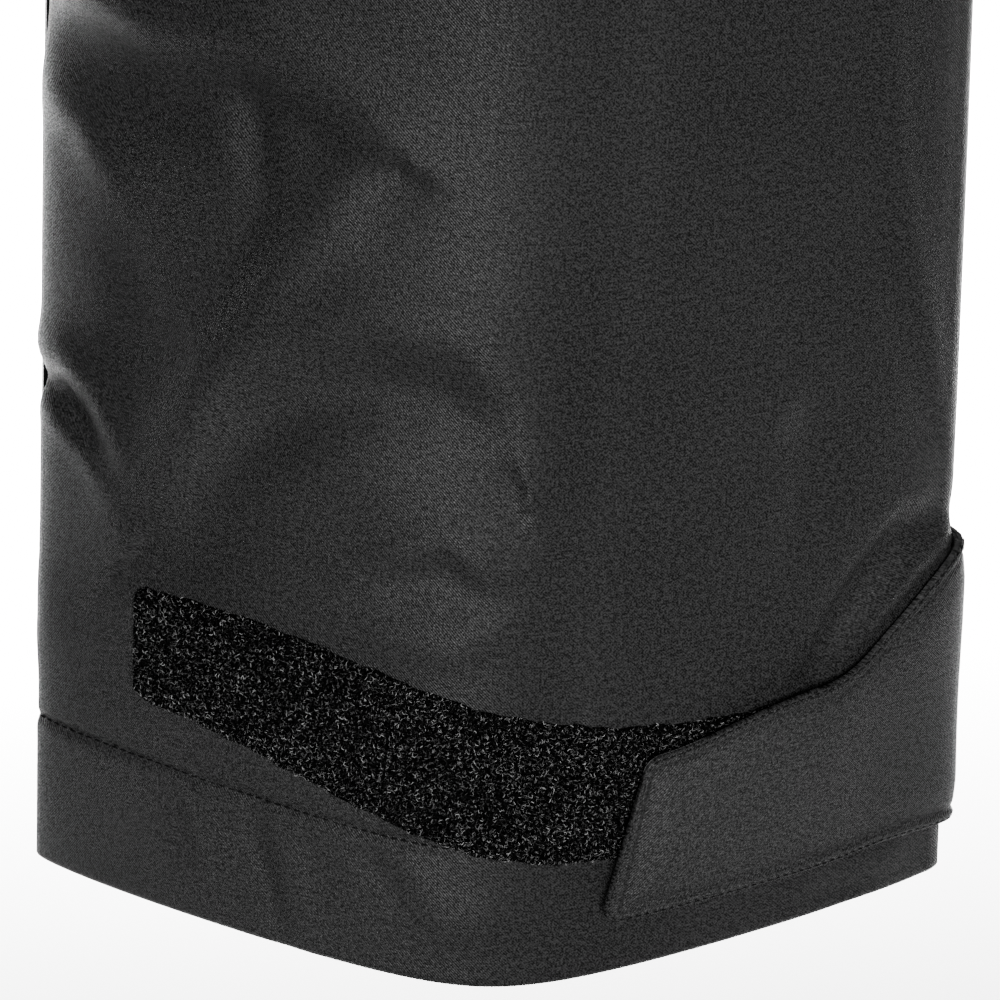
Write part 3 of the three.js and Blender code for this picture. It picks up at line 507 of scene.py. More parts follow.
def grid_faces(
    rows: int, columns: int, flip: bool, start: int = 0, wrap: bool = False
) -> list[tuple[int, ...]]:
    """Quads over a grid of rows by columns points, row by row."""
    faces = []
    last = columns if wrap else columns - 1
    for row in range(rows - 1):
        base, above = start + row * columns, start + (row + 1) * columns
        for column in range(last):
            beside = (column + 1) % columns
            quad = (base + column, base + beside, above + beside, above + column)
            faces.append(quad[::-1] if flip else quad)
    return faces


def cloth(name: str, points: Array, uv: Array, flip: bool) -> bpy.types.Object:
    """A single layer of cloth from a grid of points, shape (rows, columns, 3)."""
    rows, columns = points.shape[:2]
    return new_object(name, points.reshape(-1, 3), grid_faces(rows, columns, flip), uv.reshape(-1, 2))


def closed(name: str, outer: Array, inner: Array, uv: Array, flip: bool) -> bpy.types.Object:
    """A closed piece from an outer and an inner grid that share their outline."""
    rows, columns = outer.shape[:2]
    count = rows * columns
    faces = grid_faces(rows, columns, flip) + grid_faces(rows, columns, not flip, count)
    rim = [(0, c) for c in range(columns)] + [(r, columns - 1) for r in range(1, rows)]
    rim += [(rows - 1, c) for c in range(columns - 2, -1, -1)] + [(r, 0) for r in range(rows - 2, 0, -1)]
    ring = [r * columns + c for r, c in rim]
    for here, there in zip(ring, ring[1:] + ring[:1]):
        quad = (here, here + count, there + count, there)
        faces.append(quad[::-1] if flip else quad)
    points = np.concatenate([outer.reshape(-1, 3), inner.reshape(-1, 3)])
    return new_object(name, points, faces, np.concatenate([uv.reshape(-1, 2)] * 2))


def rolled_edge(inside: Array, thickness: float, roll: float = 0.9) -> Array:
    """Height of a layer whose edge rolls over: 0 at the edge, full thickness further in."""
    t = np.clip(inside / roll, 0, 1)
    return thickness * np.sqrt(np.maximum(1 - (1 - t) ** 2, 0))


def corner_trim(inside: Array, radius: float) -> Array:
    """How much a strip's long edges are cut back near a rounded end, by distance from the end."""
    past = np.clip((radius - inside) / radius, 0, 1)
    return radius * (1 - np.sqrt(np.maximum(1 - past * past, 0)))


# ---------------------------------------------------------------------------------------------
# Shader maths
# ---------------------------------------------------------------------------------------------
class Value:
    """A shader value that can be used in ordinary expressions."""

    def __init__(self, shader: "Shader", socket: bpy.types.NodeSocket) -> None:
        """Keeps the socket and the shader it belongs to."""
        self.shader = shader
        self.socket = socket

    def _math(self, operation: str, first: object, second: object = None) -> "Value":
        """Adds one Math node."""
        values = {0: first} if second is None else {0: first, 1: second}
        return self.shader.node("ShaderNodeMath", {"operation": operation}, values)

    def __add__(self, other: object) -> "Value":
        """Sum."""
        return self._math("ADD", self, other)

    __radd__ = __add__

    def __mul__(self, other: object) -> "Value":
        """Product."""
        return self._math("MULTIPLY", self, other)

    __rmul__ = __mul__

    def __sub__(self, other: object) -> "Value":
        """Difference."""
        return self._math("SUBTRACT", self, other)

    def __rsub__(self, other: object) -> "Value":
        """Reflected difference."""
        return self._math("SUBTRACT", other, self)

    def __truediv__(self, other: object) -> "Value":
        """Quotient."""
        return self._math("DIVIDE", self, other)

    def __gt__(self, other: object) -> "Value":
        """1 where greater."""
        return self._math("GREATER_THAN", self, other)

    def sine(self) -> "Value":
        """Sine of the value in radians."""
        return self._math("SINE", self)

    def power(self, exponent: float) -> "Value":
        """Power of the value."""
        return self._math("POWER", self, exponent)

    def clamp(self, low: float = 0.0, high: float = 1.0) -> "Value":
        """Held between two limits."""
        return self._math("MINIMUM", self._math("MAXIMUM", self, low), high)


class Shader:
    """A material's node tree, with one method that adds any node."""

    def __init__(self, name: str) -> None:
        """Starts a material with its Principled shader."""
        self.material = bpy.data.materials.new(name)
        self.material.use_nodes = True
        self.tree = self.material.node_tree
        self.surface = next(n for n in self.tree.nodes if n.type == "BSDF_PRINCIPLED")

    def node(
        self, kind: str, settings: dict[str, object], values: dict[object, object], output: object = 0
    ) -> Value:
        """Adds a node.

        Args:
            kind: the node's type name.
            settings: properties set first; "stops" fills a colour ramp.
            values: plain values or links for its input sockets, by name or number.
            output: which output to return.

        Returns:
            The output as a value.
        """
        made = self.tree.nodes.new(kind)
        for key, value in settings.items():
            if key == "stops":
                ramp = made.color_ramp
                while len(ramp.elements) < len(value):
                    ramp.elements.new(0.5)
                for element, (place, colour) in zip(ramp.elements, value):
                    element.position = place
                    element.color = (*colour, 1)
            else:
                setattr(made, key, value)
        for key, value in values.items():
            socket = made.inputs[key]
            if isinstance(value, Value):
                self.tree.links.new(value.socket, socket)
            else:
                socket.default_value = value
        return Value(self, made.outputs[output])

    def cloth_place(self) -> tuple[Value, Value, Value]:
        """The cloth coordinates in metres: the vector, then across and up."""
        place = self.node("ShaderNodeUVMap", {"uv_map": "cloth"}, {})
        across = self.node("ShaderNodeSeparateXYZ", {}, {0: place}, 0)
        up = self.node("ShaderNodeSeparateXYZ", {}, {0: place}, 1)
        return place, across, up

    def object_place(self) -> Value:
        """The position on the piece in metres."""
        return self.node("ShaderNodeTexCoord", {}, {}, "Object")

    def noise(self, place: Value, size: float, detail: float = 2.0, roughness: float = 0.5) -> Value:
        """Noise from 0 to 1 whose features are about size metres across."""
        values = {"Vector": place, "Scale": 1 / size, "Detail": detail, "Roughness": roughness}
        return self.node("ShaderNodeTexNoise", {}, values, "Fac")

    def colour(self, factor: Value, dark: Sequence[float], light: Sequence[float]) -> Value:
        """A mix of two colours."""
        values = {0: factor, 6: (*dark, 1), 7: (*light, 1)}
        return self.node("ShaderNodeMix", {"data_type": "RGBA"}, values, 2)

    def bump(
        self, height: Value, distance: float, strength: float = 1.0, under: Optional[Value] = None
    ) -> Value:
        """A Bump node over a height in units of distance, in metres."""
        values: dict[object, object] = {"Height": height, "Distance": distance, "Strength": strength}
        if under is not None:
            values["Normal"] = under
        return self.node("ShaderNodeBump", {}, values)

    def drive(self, socket: str, value: object) -> None:
        """Sets or links one of the surface shader's inputs."""
        if isinstance(value, Value):
            self.tree.links.new(value.socket, self.surface.inputs[socket])
        else:
            self.surface.inputs[socket].default_value = value


@dataclass(frozen=True)
class Twill:
    """Shell cloth: a fine dry twill with a faint satin gloss.

    Args:
        name: the material's name.
        dark: colour between the threads.
        light: colour on the threads.
        rough: roughness of the thread tops.
        pitch: distance between the twill lines, in metres.
        angle: direction of the twill lines.
        grain: how strongly single threads differ.
        sheen: strength of the soft gloss at grazing angles.
        relief: depth of the weave, in metres.
        gloss: strength of the mirror-like part.
    """

    name: str
    dark: tuple[float, float, float]
    light: tuple[float, float, float]
    rough: float = 0.42
    pitch: float = 0.00062
    angle: float = 0.8
    grain: float = 1.0
    sheen: float = 0.0
    relief: float = 0.00018
    gloss: float = 0.05

    def build(self) -> bpy.types.Material:
        """Makes the material."""
        shader = Shader(self.name)
        place, across, up = shader.cloth_place()
        wander = shader.noise(place, 0.006, 1.0) * 1.6
        line = (across * math.sin(self.angle) - up * math.cos(self.angle)) * (2 * math.pi / self.pitch)
        twill = (line + wander).sine() * 0.5 + 0.5
        threads = shader.noise(place, 0.0006, 1.0, 0.7)
        blotch = shader.noise(place, 0.0017, 2.0, 0.6)
        wear = shader.noise(place, 0.05, 2.0, 0.5)
        grain = (threads - 0.5) * 3.4 * self.grain + (blotch - 0.5) * 1.5 * self.grain
        shade = (twill * 0.3 + 0.3 + grain + (wear - 0.5) * 0.3).clamp()
        shader.drive("Base Color", shader.colour(shade, self.dark, self.light))
        shader.drive("Roughness", (self.rough + (0.5 - shade) * 0.22).clamp(0.2, 1))
        height = twill * 0.5 + threads * 0.8
        shader.drive("Normal", shader.bump(height, self.relief))
        shader.drive("Sheen Weight", self.sheen)
        shader.drive("Sheen Roughness", 0.45)
        shader.drive("Specular IOR Level", self.gloss)
        return shader.material


@dataclass(frozen=True)
class Webbing:
    """Woven webbing, tape or knitted binding with ribs along or across it."""

    name: str
    dark: tuple[float, float, float]
    light: tuple[float, float, float]
    pitch: float = 0.0012
    rough: float = 0.7

    def build(self) -> bpy.types.Material:
        """Makes the material."""
        shader = Shader(self.name)
        place, across, up = shader.cloth_place()
        warp = (across * (2 * math.pi / self.pitch)).sine() * 0.5 + 0.5
        weft = (up * (2 * math.pi / (self.pitch * 0.7))).sine() * 0.5 + 0.5
        fine = shader.noise(place, 0.0006, 2.0, 0.6)
        shade = (warp * weft * 0.6 + fine * 0.6).clamp()
        shader.drive("Base Color", shader.colour(shade, self.dark, self.light))
        shader.drive("Roughness", (self.rough + (fine - 0.5) * 0.2).clamp(0.2, 1))
        shader.drive("Normal", shader.bump(warp * weft + fine * 0.4, 0.00018))
        shader.drive("Specular IOR Level", 0.08)
        return shader.material


@dataclass(frozen=True)
class Pile:
    """The brushed ground of a loop patch, or its fibres, which carry a random tone of their own; the
    brightest fibres are painted light as glints.
    """

    name: str
    dark: tuple[float, float, float]
    light: tuple[float, float, float]
    fibres: bool = False

    def build(self) -> bpy.types.Material:
        """Makes the material."""
        shader = Shader(self.name)
        if self.fibres:
            # The fibres' stored tone is random, and where it is high it is a painted glint.
            shade = shader.node("ShaderNodeAttribute", {"attribute_name": "shade"}, {}, "Fac")
        else:
            place = shader.object_place()
            shade = (shader.noise(place, 0.0009, 3.0, 0.7) - 0.4).clamp() * 1.4
            shader.drive("Normal", shader.bump(shader.noise(place, 0.0008, 3.0, 0.8), 0.0006))
        shader.drive("Base Color", shader.colour(shade, self.dark, self.light))
        shader.drive("Roughness", 0.42 if self.fibres else 0.95)
        shader.drive("Specular IOR Level", 0.05 if self.fibres else 0.0)
        return shader.material


@dataclass(frozen=True)
class Plain:
    """Thread, moulded plastic or metal, with a fine mottle."""

    name: str
    dark: tuple[float, float, float]
    light: tuple[float, float, float]
    rough: float = 0.5
    metal: float = 0.0
    grain: float = 0.0008
    relief: float = 0.00002
    gloss: float = 0.25

    def build(self) -> bpy.types.Material:
        """Makes the material."""
        shader = Shader(self.name)
        place = shader.object_place()
        mottle = shader.noise(place, self.grain, 3.0, 0.6)
        wide = shader.noise(place, self.grain * 12, 2.0, 0.5)
        shade = (mottle * 0.6 + wide * 0.4).clamp()
        shader.drive("Base Color", shader.colour(shade, self.dark, self.light))
        shader.drive("Roughness", (self.rough + (wide - 0.5) * 0.25).clamp(0.08, 1))
        shader.drive("Metallic", self.metal)
        shader.drive("Specular IOR Level", self.gloss)
        shader.drive("Normal", shader.bump(mottle, self.relief))
        return shader.material


@dataclass
class Finishes:
    """Every finish of the garment, made once and shared by its pieces."""

    made: dict[str, bpy.types.Material] = field(default_factory=dict)
    kinds: tuple[object, ...] = (
        Twill("shell_cloth", (0.0, 0.0, 0.0), (0.0104, 0.0104, 0.0105)),
        Twill("tab_cloth", (0.0, 0.0, 0.0), (0.0104, 0.0104, 0.0105), angle=-0.72),
        Twill("lining_cloth", (0.004, 0.0041, 0.0046), (0.014, 0.0143, 0.016), pitch=0.0008),
        Webbing("trim_webbing", (0.002, 0.002, 0.002), (0.013, 0.013, 0.0132)),
        Webbing("zip_tape", (0.0015, 0.0015, 0.0015), (0.009, 0.009, 0.009), pitch=0.0009),
        Pile("loop_ground", (0.0, 0.0, 0.0), (0.003, 0.003, 0.003)),
        # The fibres' light colour, far above the cloth's, is a painted glint.
        Pile("loop_fibres", (0.0, 0.0, 0.0), (0.1, 0.1, 0.1), True),
        Plain("hook_plastic", (0.002, 0.002, 0.002), (0.008, 0.008, 0.008), 0.45),
        Plain("sewing_thread", (0.0, 0.0, 0.0), (0.002, 0.002, 0.002), 0.7, grain=0.0004, gloss=0.03),
        Plain("zip_teeth", (0.003, 0.003, 0.003), (0.012, 0.012, 0.012), 0.38),
        Plain("gunmetal", (0.09, 0.092, 0.098), (0.2, 0.203, 0.21), 0.32, 1.0),
        Plain("floor_card", (0.86, 0.86, 0.86), (0.9, 0.9, 0.9), 0.9, grain=0.02),
    )

    def __post_init__(self) -> None:
        """Makes every material."""
        for kind in self.kinds:
            self.made[kind.name] = kind.build()

    def dress(self, piece: bpy.types.Object, finish: str) -> None:
        """Gives a piece one finish all over."""
        piece.data.materials.clear()
        piece.data.materials.append(self.made[finish])


# ---------------------------------------------------------------------------------------------
# Geometry Nodes
# ---------------------------------------------------------------------------------------------
class Pattern:
    """A Geometry Nodes tree with named inputs, run on a piece and turned into a plain mesh."""

    def __init__(self, name: str) -> None:
        """Starts the tree with its geometry input and output."""
        self.tree = bpy.data.node_groups.new(name, "GeometryNodeTree")
        face = self.tree.interface
        face.new_socket("Geometry", in_out="INPUT", socket_type="NodeSocketGeometry")
        face.new_socket("Geometry", in_out="OUTPUT", socket_type="NodeSocketGeometry")
        self.entry = self.tree.nodes.new("NodeGroupInput")
        self.exit = self.tree.nodes.new("NodeGroupOutput")

    def size(self, name: str, kind: str = "NodeSocketFloat") -> None:
        """Adds a named input."""
        self.tree.interface.new_socket(name, in_out="INPUT", socket_type=kind)

    def given(self, name: str) -> bpy.types.NodeSocket:
        """A named input's socket inside the tree."""
        return self.entry.outputs[name]

    def node(
        self, kind: str, settings: dict[str, object], values: dict[object, object], output: object = 0
    ) -> bpy.types.NodeSocket:
        """Adds a node, sets it, links it and returns one output."""
        made = self.tree.nodes.new(kind)
        for key, value in settings.items():
            setattr(made, key, value)
        for key, value in values.items():
            if isinstance(value, bpy.types.NodeSocket):
                self.tree.links.new(value, made.inputs[key])
            else:
                made.inputs[key].default_value = value
        return made.outputs[output]

    def finish(self, geometry: bpy.types.NodeSocket, material: bpy.types.Material) -> None:
        """Realizes the instances, sets the material and links the output."""
        real = self.node("GeometryNodeRealizeInstances", {}, {0: geometry})
        dressed = self.node("GeometryNodeSetMaterial", {}, {0: real, "Material": material})
        self.tree.links.new(dressed, self.exit.inputs[0])

    def run(self, name: str, source: bpy.types.Object, sizes: dict[str, object]) -> bpy.types.Object:
        """Runs the tree on a source mesh.

        Args:
            name: the new piece's name.
            source: the object whose mesh the tree reads; it is removed afterwards.
            sizes: values for the named inputs.

        Returns:
            A plain mesh object at the origin.
        """
        modifier = source.modifiers.new("pattern", "NODES")
        modifier.node_group = self.tree
        for item in self.tree.interface.items_tree:
            if item.item_type == "SOCKET" and item.in_out == "INPUT" and item.name in sizes:
                modifier[item.identifier] = sizes[item.name]
        graph = bpy.context.evaluated_depsgraph_get()
        graph.update()
        mesh = bpy.data.meshes.new_from_object(source.evaluated_get(graph), depsgraph=graph)
        mesh.name = name
        made = bpy.data.objects.new(name, mesh)
        bpy.context.scene.collection.objects.link(made)
        bpy.data.objects.remove(source)
        return made


def path_object(name: str, lines: Iterable[Array]) -> bpy.types.Object:
    """A mesh of edges along several lines of points in millimetres."""
    points: list[list[float]] = []
    edges: list[tuple[int, int]] = []
    for line in lines:
        start = len(points)
        points.extend((np.asarray(line) * MM).tolist())
        edges.extend((start + i, start + i + 1) for i in range(len(line) - 1))
    mesh = bpy.data.meshes.new(name)
    mesh.from_pydata(points, edges, [])
    made = bpy.data.objects.new(name, mesh)
    bpy.context.scene.collection.objects.link(made)
    return made


def stitch_pattern(material: bpy.types.Material) -> Pattern:
    """Stitches along lines: short thread lengths that dive in at both ends."""
    pattern = Pattern("stitches")
    for name in ("Pitch", "Length", "Thickness"):
        pattern.size(name)
    line = pattern.node("GeometryNodeMeshToCurve", {}, {0: pattern.given("Geometry")})
    spaced = pattern.node(
        "GeometryNodeResampleCurve", {"mode": "LENGTH"}, {"Curve": line, "Length": pattern.given("Pitch")}
    )
    tangent = pattern.node("GeometryNodeInputTangent", {}, {})
    turn = pattern.node("FunctionNodeAlignRotationToVector", {"axis": "Z"}, {"Vector": tangent})
    ball = pattern.node("GeometryNodeMeshUVSphere", {}, {"Segments": 6, "Rings": 4, "Radius": 0.5})
    wide = pattern.node(
        "ShaderNodeCombineXYZ",
        {},
        {0: pattern.given("Thickness"), 1: pattern.given("Thickness"), 2: pattern.given("Length")},
    )
    values = {"Points": spaced, "Instance": ball, "Rotation": turn, "Scale": wide}
    stitches = pattern.node("GeometryNodeInstanceOnPoints", {}, values)
    smooth_ones = pattern.node(
        "GeometryNodeSetShadeSmooth", {}, {0: pattern.node("GeometryNodeRealizeInstances", {}, {0: stitches})}
    )
    pattern.finish(smooth_ones, material)
    return pattern


def teeth_pattern(material: bpy.types.Material) -> Pattern:
    """Zip teeth along lines: small blocks set square to each line."""
    pattern = Pattern("teeth")
    pattern.size("Pitch")
    line = pattern.node("GeometryNodeMeshToCurve", {}, {0: pattern.given("Geometry")})
    spaced = pattern.node(
        "GeometryNodeResampleCurve", {"mode": "LENGTH"}, {"Curve": line, "Length": pattern.given("Pitch")}
    )
    tangent = pattern.node("GeometryNodeInputTangent", {}, {})
    turn = pattern.node("FunctionNodeAlignRotationToVector", {"axis": "Z"}, {"Vector": tangent})
    block = pattern.node("GeometryNodeMeshCube", {}, {"Size": (0.0019, 0.0014, 0.0014)})
    values = {"Points": spaced, "Instance": block, "Rotation": turn}
    teeth = pattern.node("GeometryNodeInstanceOnPoints", {}, values)
    pattern.finish(teeth, material)
    return pattern


def fibre_pattern(material: bpy.types.Material) -> Pattern:
    """Curly loop fibres strewn over a surface, each with its own random tone; the brightest few are painted
    glints.
    """
    pattern = Pattern("fibres")
    for name in ("Density", "Size", "Width"):
        pattern.size(name)
    pattern.size("Seed", "NodeSocketInt")
    values = {
        "Mesh": pattern.given("Geometry"), "Density": pattern.given("Density"), "Seed": pattern.given("Seed")
    }
    points = pattern.node("GeometryNodeDistributePointsOnFaces", {}, values)
    size = pattern.given("Size")
    half = pattern.node("ShaderNodeMath", {"operation": "MULTIPLY"}, {0: size, 1: 0.5})
    start = pattern.node(
        "ShaderNodeCombineXYZ",
        {},
        {0: pattern.node("ShaderNodeMath", {"operation": "MULTIPLY"}, {0: half, 1: -1.0}), 1: 0.0, 2: 0.0},
    )
    peak = pattern.node("ShaderNodeCombineXYZ", {}, {0: 0.0, 1: half, 2: size})
    end = pattern.node("ShaderNodeCombineXYZ", {}, {0: half, 1: 0.0, 2: 0.0})
    arch = pattern.node(
        "GeometryNodeCurveQuadraticBezier", {}, {"Resolution": 4, "Start": start, "Middle": peak, "End": end}
    )
    flat = pattern.node("GeometryNodeCurvePrimitiveLine", {}, {"Start": (0, 0, 0), "End": (0, 0, 0)})
    width = pattern.node("ShaderNodeCombineXYZ", {}, {0: pattern.given("Width"), 1: 0.0, 2: 0.0})
    pattern.tree.links.new(width, flat.node.inputs["End"])
    ribbon = pattern.node("GeometryNodeCurveToMesh", {}, {"Curve": arch, "Profile Curve": flat})
    lean = pattern.node(
        "FunctionNodeRandomValue",
        {"data_type": "FLOAT_VECTOR"},
        {"Min": (-1.1, -1.1, 0.0), "Max": (1.1, 1.1, 6.28), "Seed": 4},
    )
    facing = pattern.tree.nodes.new("FunctionNodeEulerToRotation")
    pattern.tree.links.new(lean, facing.inputs[0])
    base = points.node.outputs["Rotation"]
    turned = pattern.node(
        "FunctionNodeRotateRotation",
        {"rotation_space": "LOCAL"},
        {"Rotation": base, "Rotate By": facing.outputs[0]},
    )
    scale = pattern.node(
        "FunctionNodeRandomValue", {"data_type": "FLOAT"}, {"Min": 0.5, "Max": 1.5, "Seed": 9}, 1
    )
    values = {"Points": points, "Instance": ribbon, "Rotation": turned, "Scale": scale}
    fibres = pattern.node("GeometryNodeInstanceOnPoints", {}, values)
    shade = pattern.node(
        "FunctionNodeRandomValue", {"data_type": "FLOAT"}, {"Min": 0.0, "Max": 1.0, "Seed": 21}, 1
    )
    # Most fibres stay dark and a few come out light; those light ones are painted glints.
    tone_and_glint = pattern.node("ShaderNodeMath", {"operation": "POWER"}, {0: shade, 1: 5.0})
    values = {"Geometry": fibres, "Name": "shade", "Value": tone_and_glint}
    tagged = pattern.node(
        "GeometryNodeStoreNamedAttribute", {"domain": "INSTANCE", "data_type": "FLOAT"}, values
    )
    pattern.finish(tagged, material)
    return pattern


# ---------------------------------------------------------------------------------------------
# The garment
# ---------------------------------------------------------------------------------------------
@dataclass
class Workshop:
    """What every sub-assembly shares: the form, the skins, the finishes and the patterns."""

    form: LegForm
    finishes: Finishes
    skins: dict[Side, Skin] = field(default_factory=dict)

    def __post_init__(self) -> None:
        """Makes the two skins and the patterns."""
        folds = Folds()
        for side in Side:
            self.skins[side] = Skin(self.form, side, folds.rule(side))
        self.stitches = stitch_pattern(self.finishes.made["sewing_thread"])
        self.fibres = fibre_pattern(self.finishes.made["loop_fibres"])
        self.teeth = teeth_pattern(self.finishes.made["zip_teeth"])

    def add(
        self, piece: bpy.types.Object, body: str, finish: str, slot: str, *nodes: str
    ) -> bpy.types.Object:
        """Dresses a piece, puts it on its body and hides the CAD nodes it stands for.

        Args:
            piece: the object.
            body: the CAD body it rides on.
            finish: which finish it takes.
            slot: the record's material slot; not used.
            nodes: CAD nodes that it replaces.

        Returns:
            The same piece.
        """
        self.finishes.dress(piece, finish)
        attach(piece, body)
        if nodes:
            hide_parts(*nodes)
        LOG.info("%s: %d faces on %s", piece.name, len(piece.data.polygons), body)
        return piece

    def sew(
        self,
        name: str,
        lines: Iterable[Array],
        body: str,
        pitch: float = 2.9,
        length: float = 1.9,
        thick: float = 0.75,
    ) -> bpy.types.Object:
        """Stitches along lines of points in millimetres."""
        sizes = {"Pitch": pitch * MM, "Length": length * MM, "Thickness": thick * MM}
        piece = self.stitches.run(name, path_object(name + "_path", lines), sizes)
        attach(piece, body)
        LOG.info("%s: %d faces of stitching", name, len(piece.data.polygons))
        return piece


@dataclass(frozen=True)
class PocketLine:
    """The hand pocket's zip on the front panel: its middle and its direction up.

    Args:
        middle: the zip's middle as (around, up).
        way: the direction along the zip, as a unit vector in the same terms.
        length: the mouth's length.
        mouth: the mouth's width.
    """

    middle: tuple[float, float]
    way: tuple[float, float]
    length: float = 134
    mouth: float = 11

    @staticmethod
    def of(form: LegForm) -> "PocketLine":
        """The line through the zip's two ends."""
        ends = []
        for angle, up in ((0.68, form.band_foot - 148), (0.86, form.band_foot - 16)):
            sweep = np.linspace(0, angle, 60)
            ring = form.section(-1, sweep, np.full(60, float(up)), 0)
            ends.append((float(np.linalg.norm(np.diff(ring, axis=0), axis=1).sum()), float(up)))
        (a0, u0), (a1, u1) = ends
        run = math.hypot(a1 - a0, u1 - u0)
        return PocketLine(((a0 + a1) / 2, (u0 + u1) / 2), ((a1 - a0) / run, (u1 - u0) / run))

    def place(self, around: Array, up: Array) -> tuple[Array, Array]:
        """Distance across and along the zip."""
        da, du = around - self.middle[0], up - self.middle[1]
        return da * self.way[1] - du * self.way[0], da * self.way[0] + du * self.way[1]

    def on_skin(self, across: Array, along: Array) -> tuple[Array, Array]:
        """Around and up from distances across and along the zip."""
        around = self.middle[0] + across * self.way[1] + along * self.way[0]
        return around, self.middle[1] - across * self.way[0] + along * self.way[1]


@dataclass(frozen=True)
class Strip:
    """A flat piece of cloth or webbing laid on the garment.

    Args:
        place: gives points from (across, up, offset).
        across: its stops one way.
        up: its stops the other way.
        low: how far its under face stands off.
        thick: its thickness.
        roll: how soon its edges reach that thickness.
        flip: turns the faces round.
    """

    place: Callable[[Array, Array, Array], Array]
    across: Array
    up: Array
    low: float
    thick: float
    roll: float = 0.8
    flip: bool = False

    def make(self, name: str, shape: Optional[Callable[[Array, Array], Array]] = None) -> bpy.types.Object:
        """Builds the closed piece; shape adds height over (across, up)."""
        t, a = np.meshgrid(self.up, self.across, indexing="ij")
        edge = np.minimum.reduce([a - a.min(), a.max() - a, t - t.min(), t.max() - t])
        height = self.low + rolled_edge(edge, self.thick, self.roll)
        if shape is not None:
            height = height + shape(a, t)
        outer = self.place(a, t, height)
        inner = self.place(a, t, np.full_like(a, self.low))
        return closed(name, outer, inner, np.stack([a, t], -1), self.flip)

    @property
    def flat(self) -> tuple[float, float]:
        """Its cut size in metres."""
        return (float(np.ptp(self.across)) * MM, float(np.ptp(self.up)) * MM)


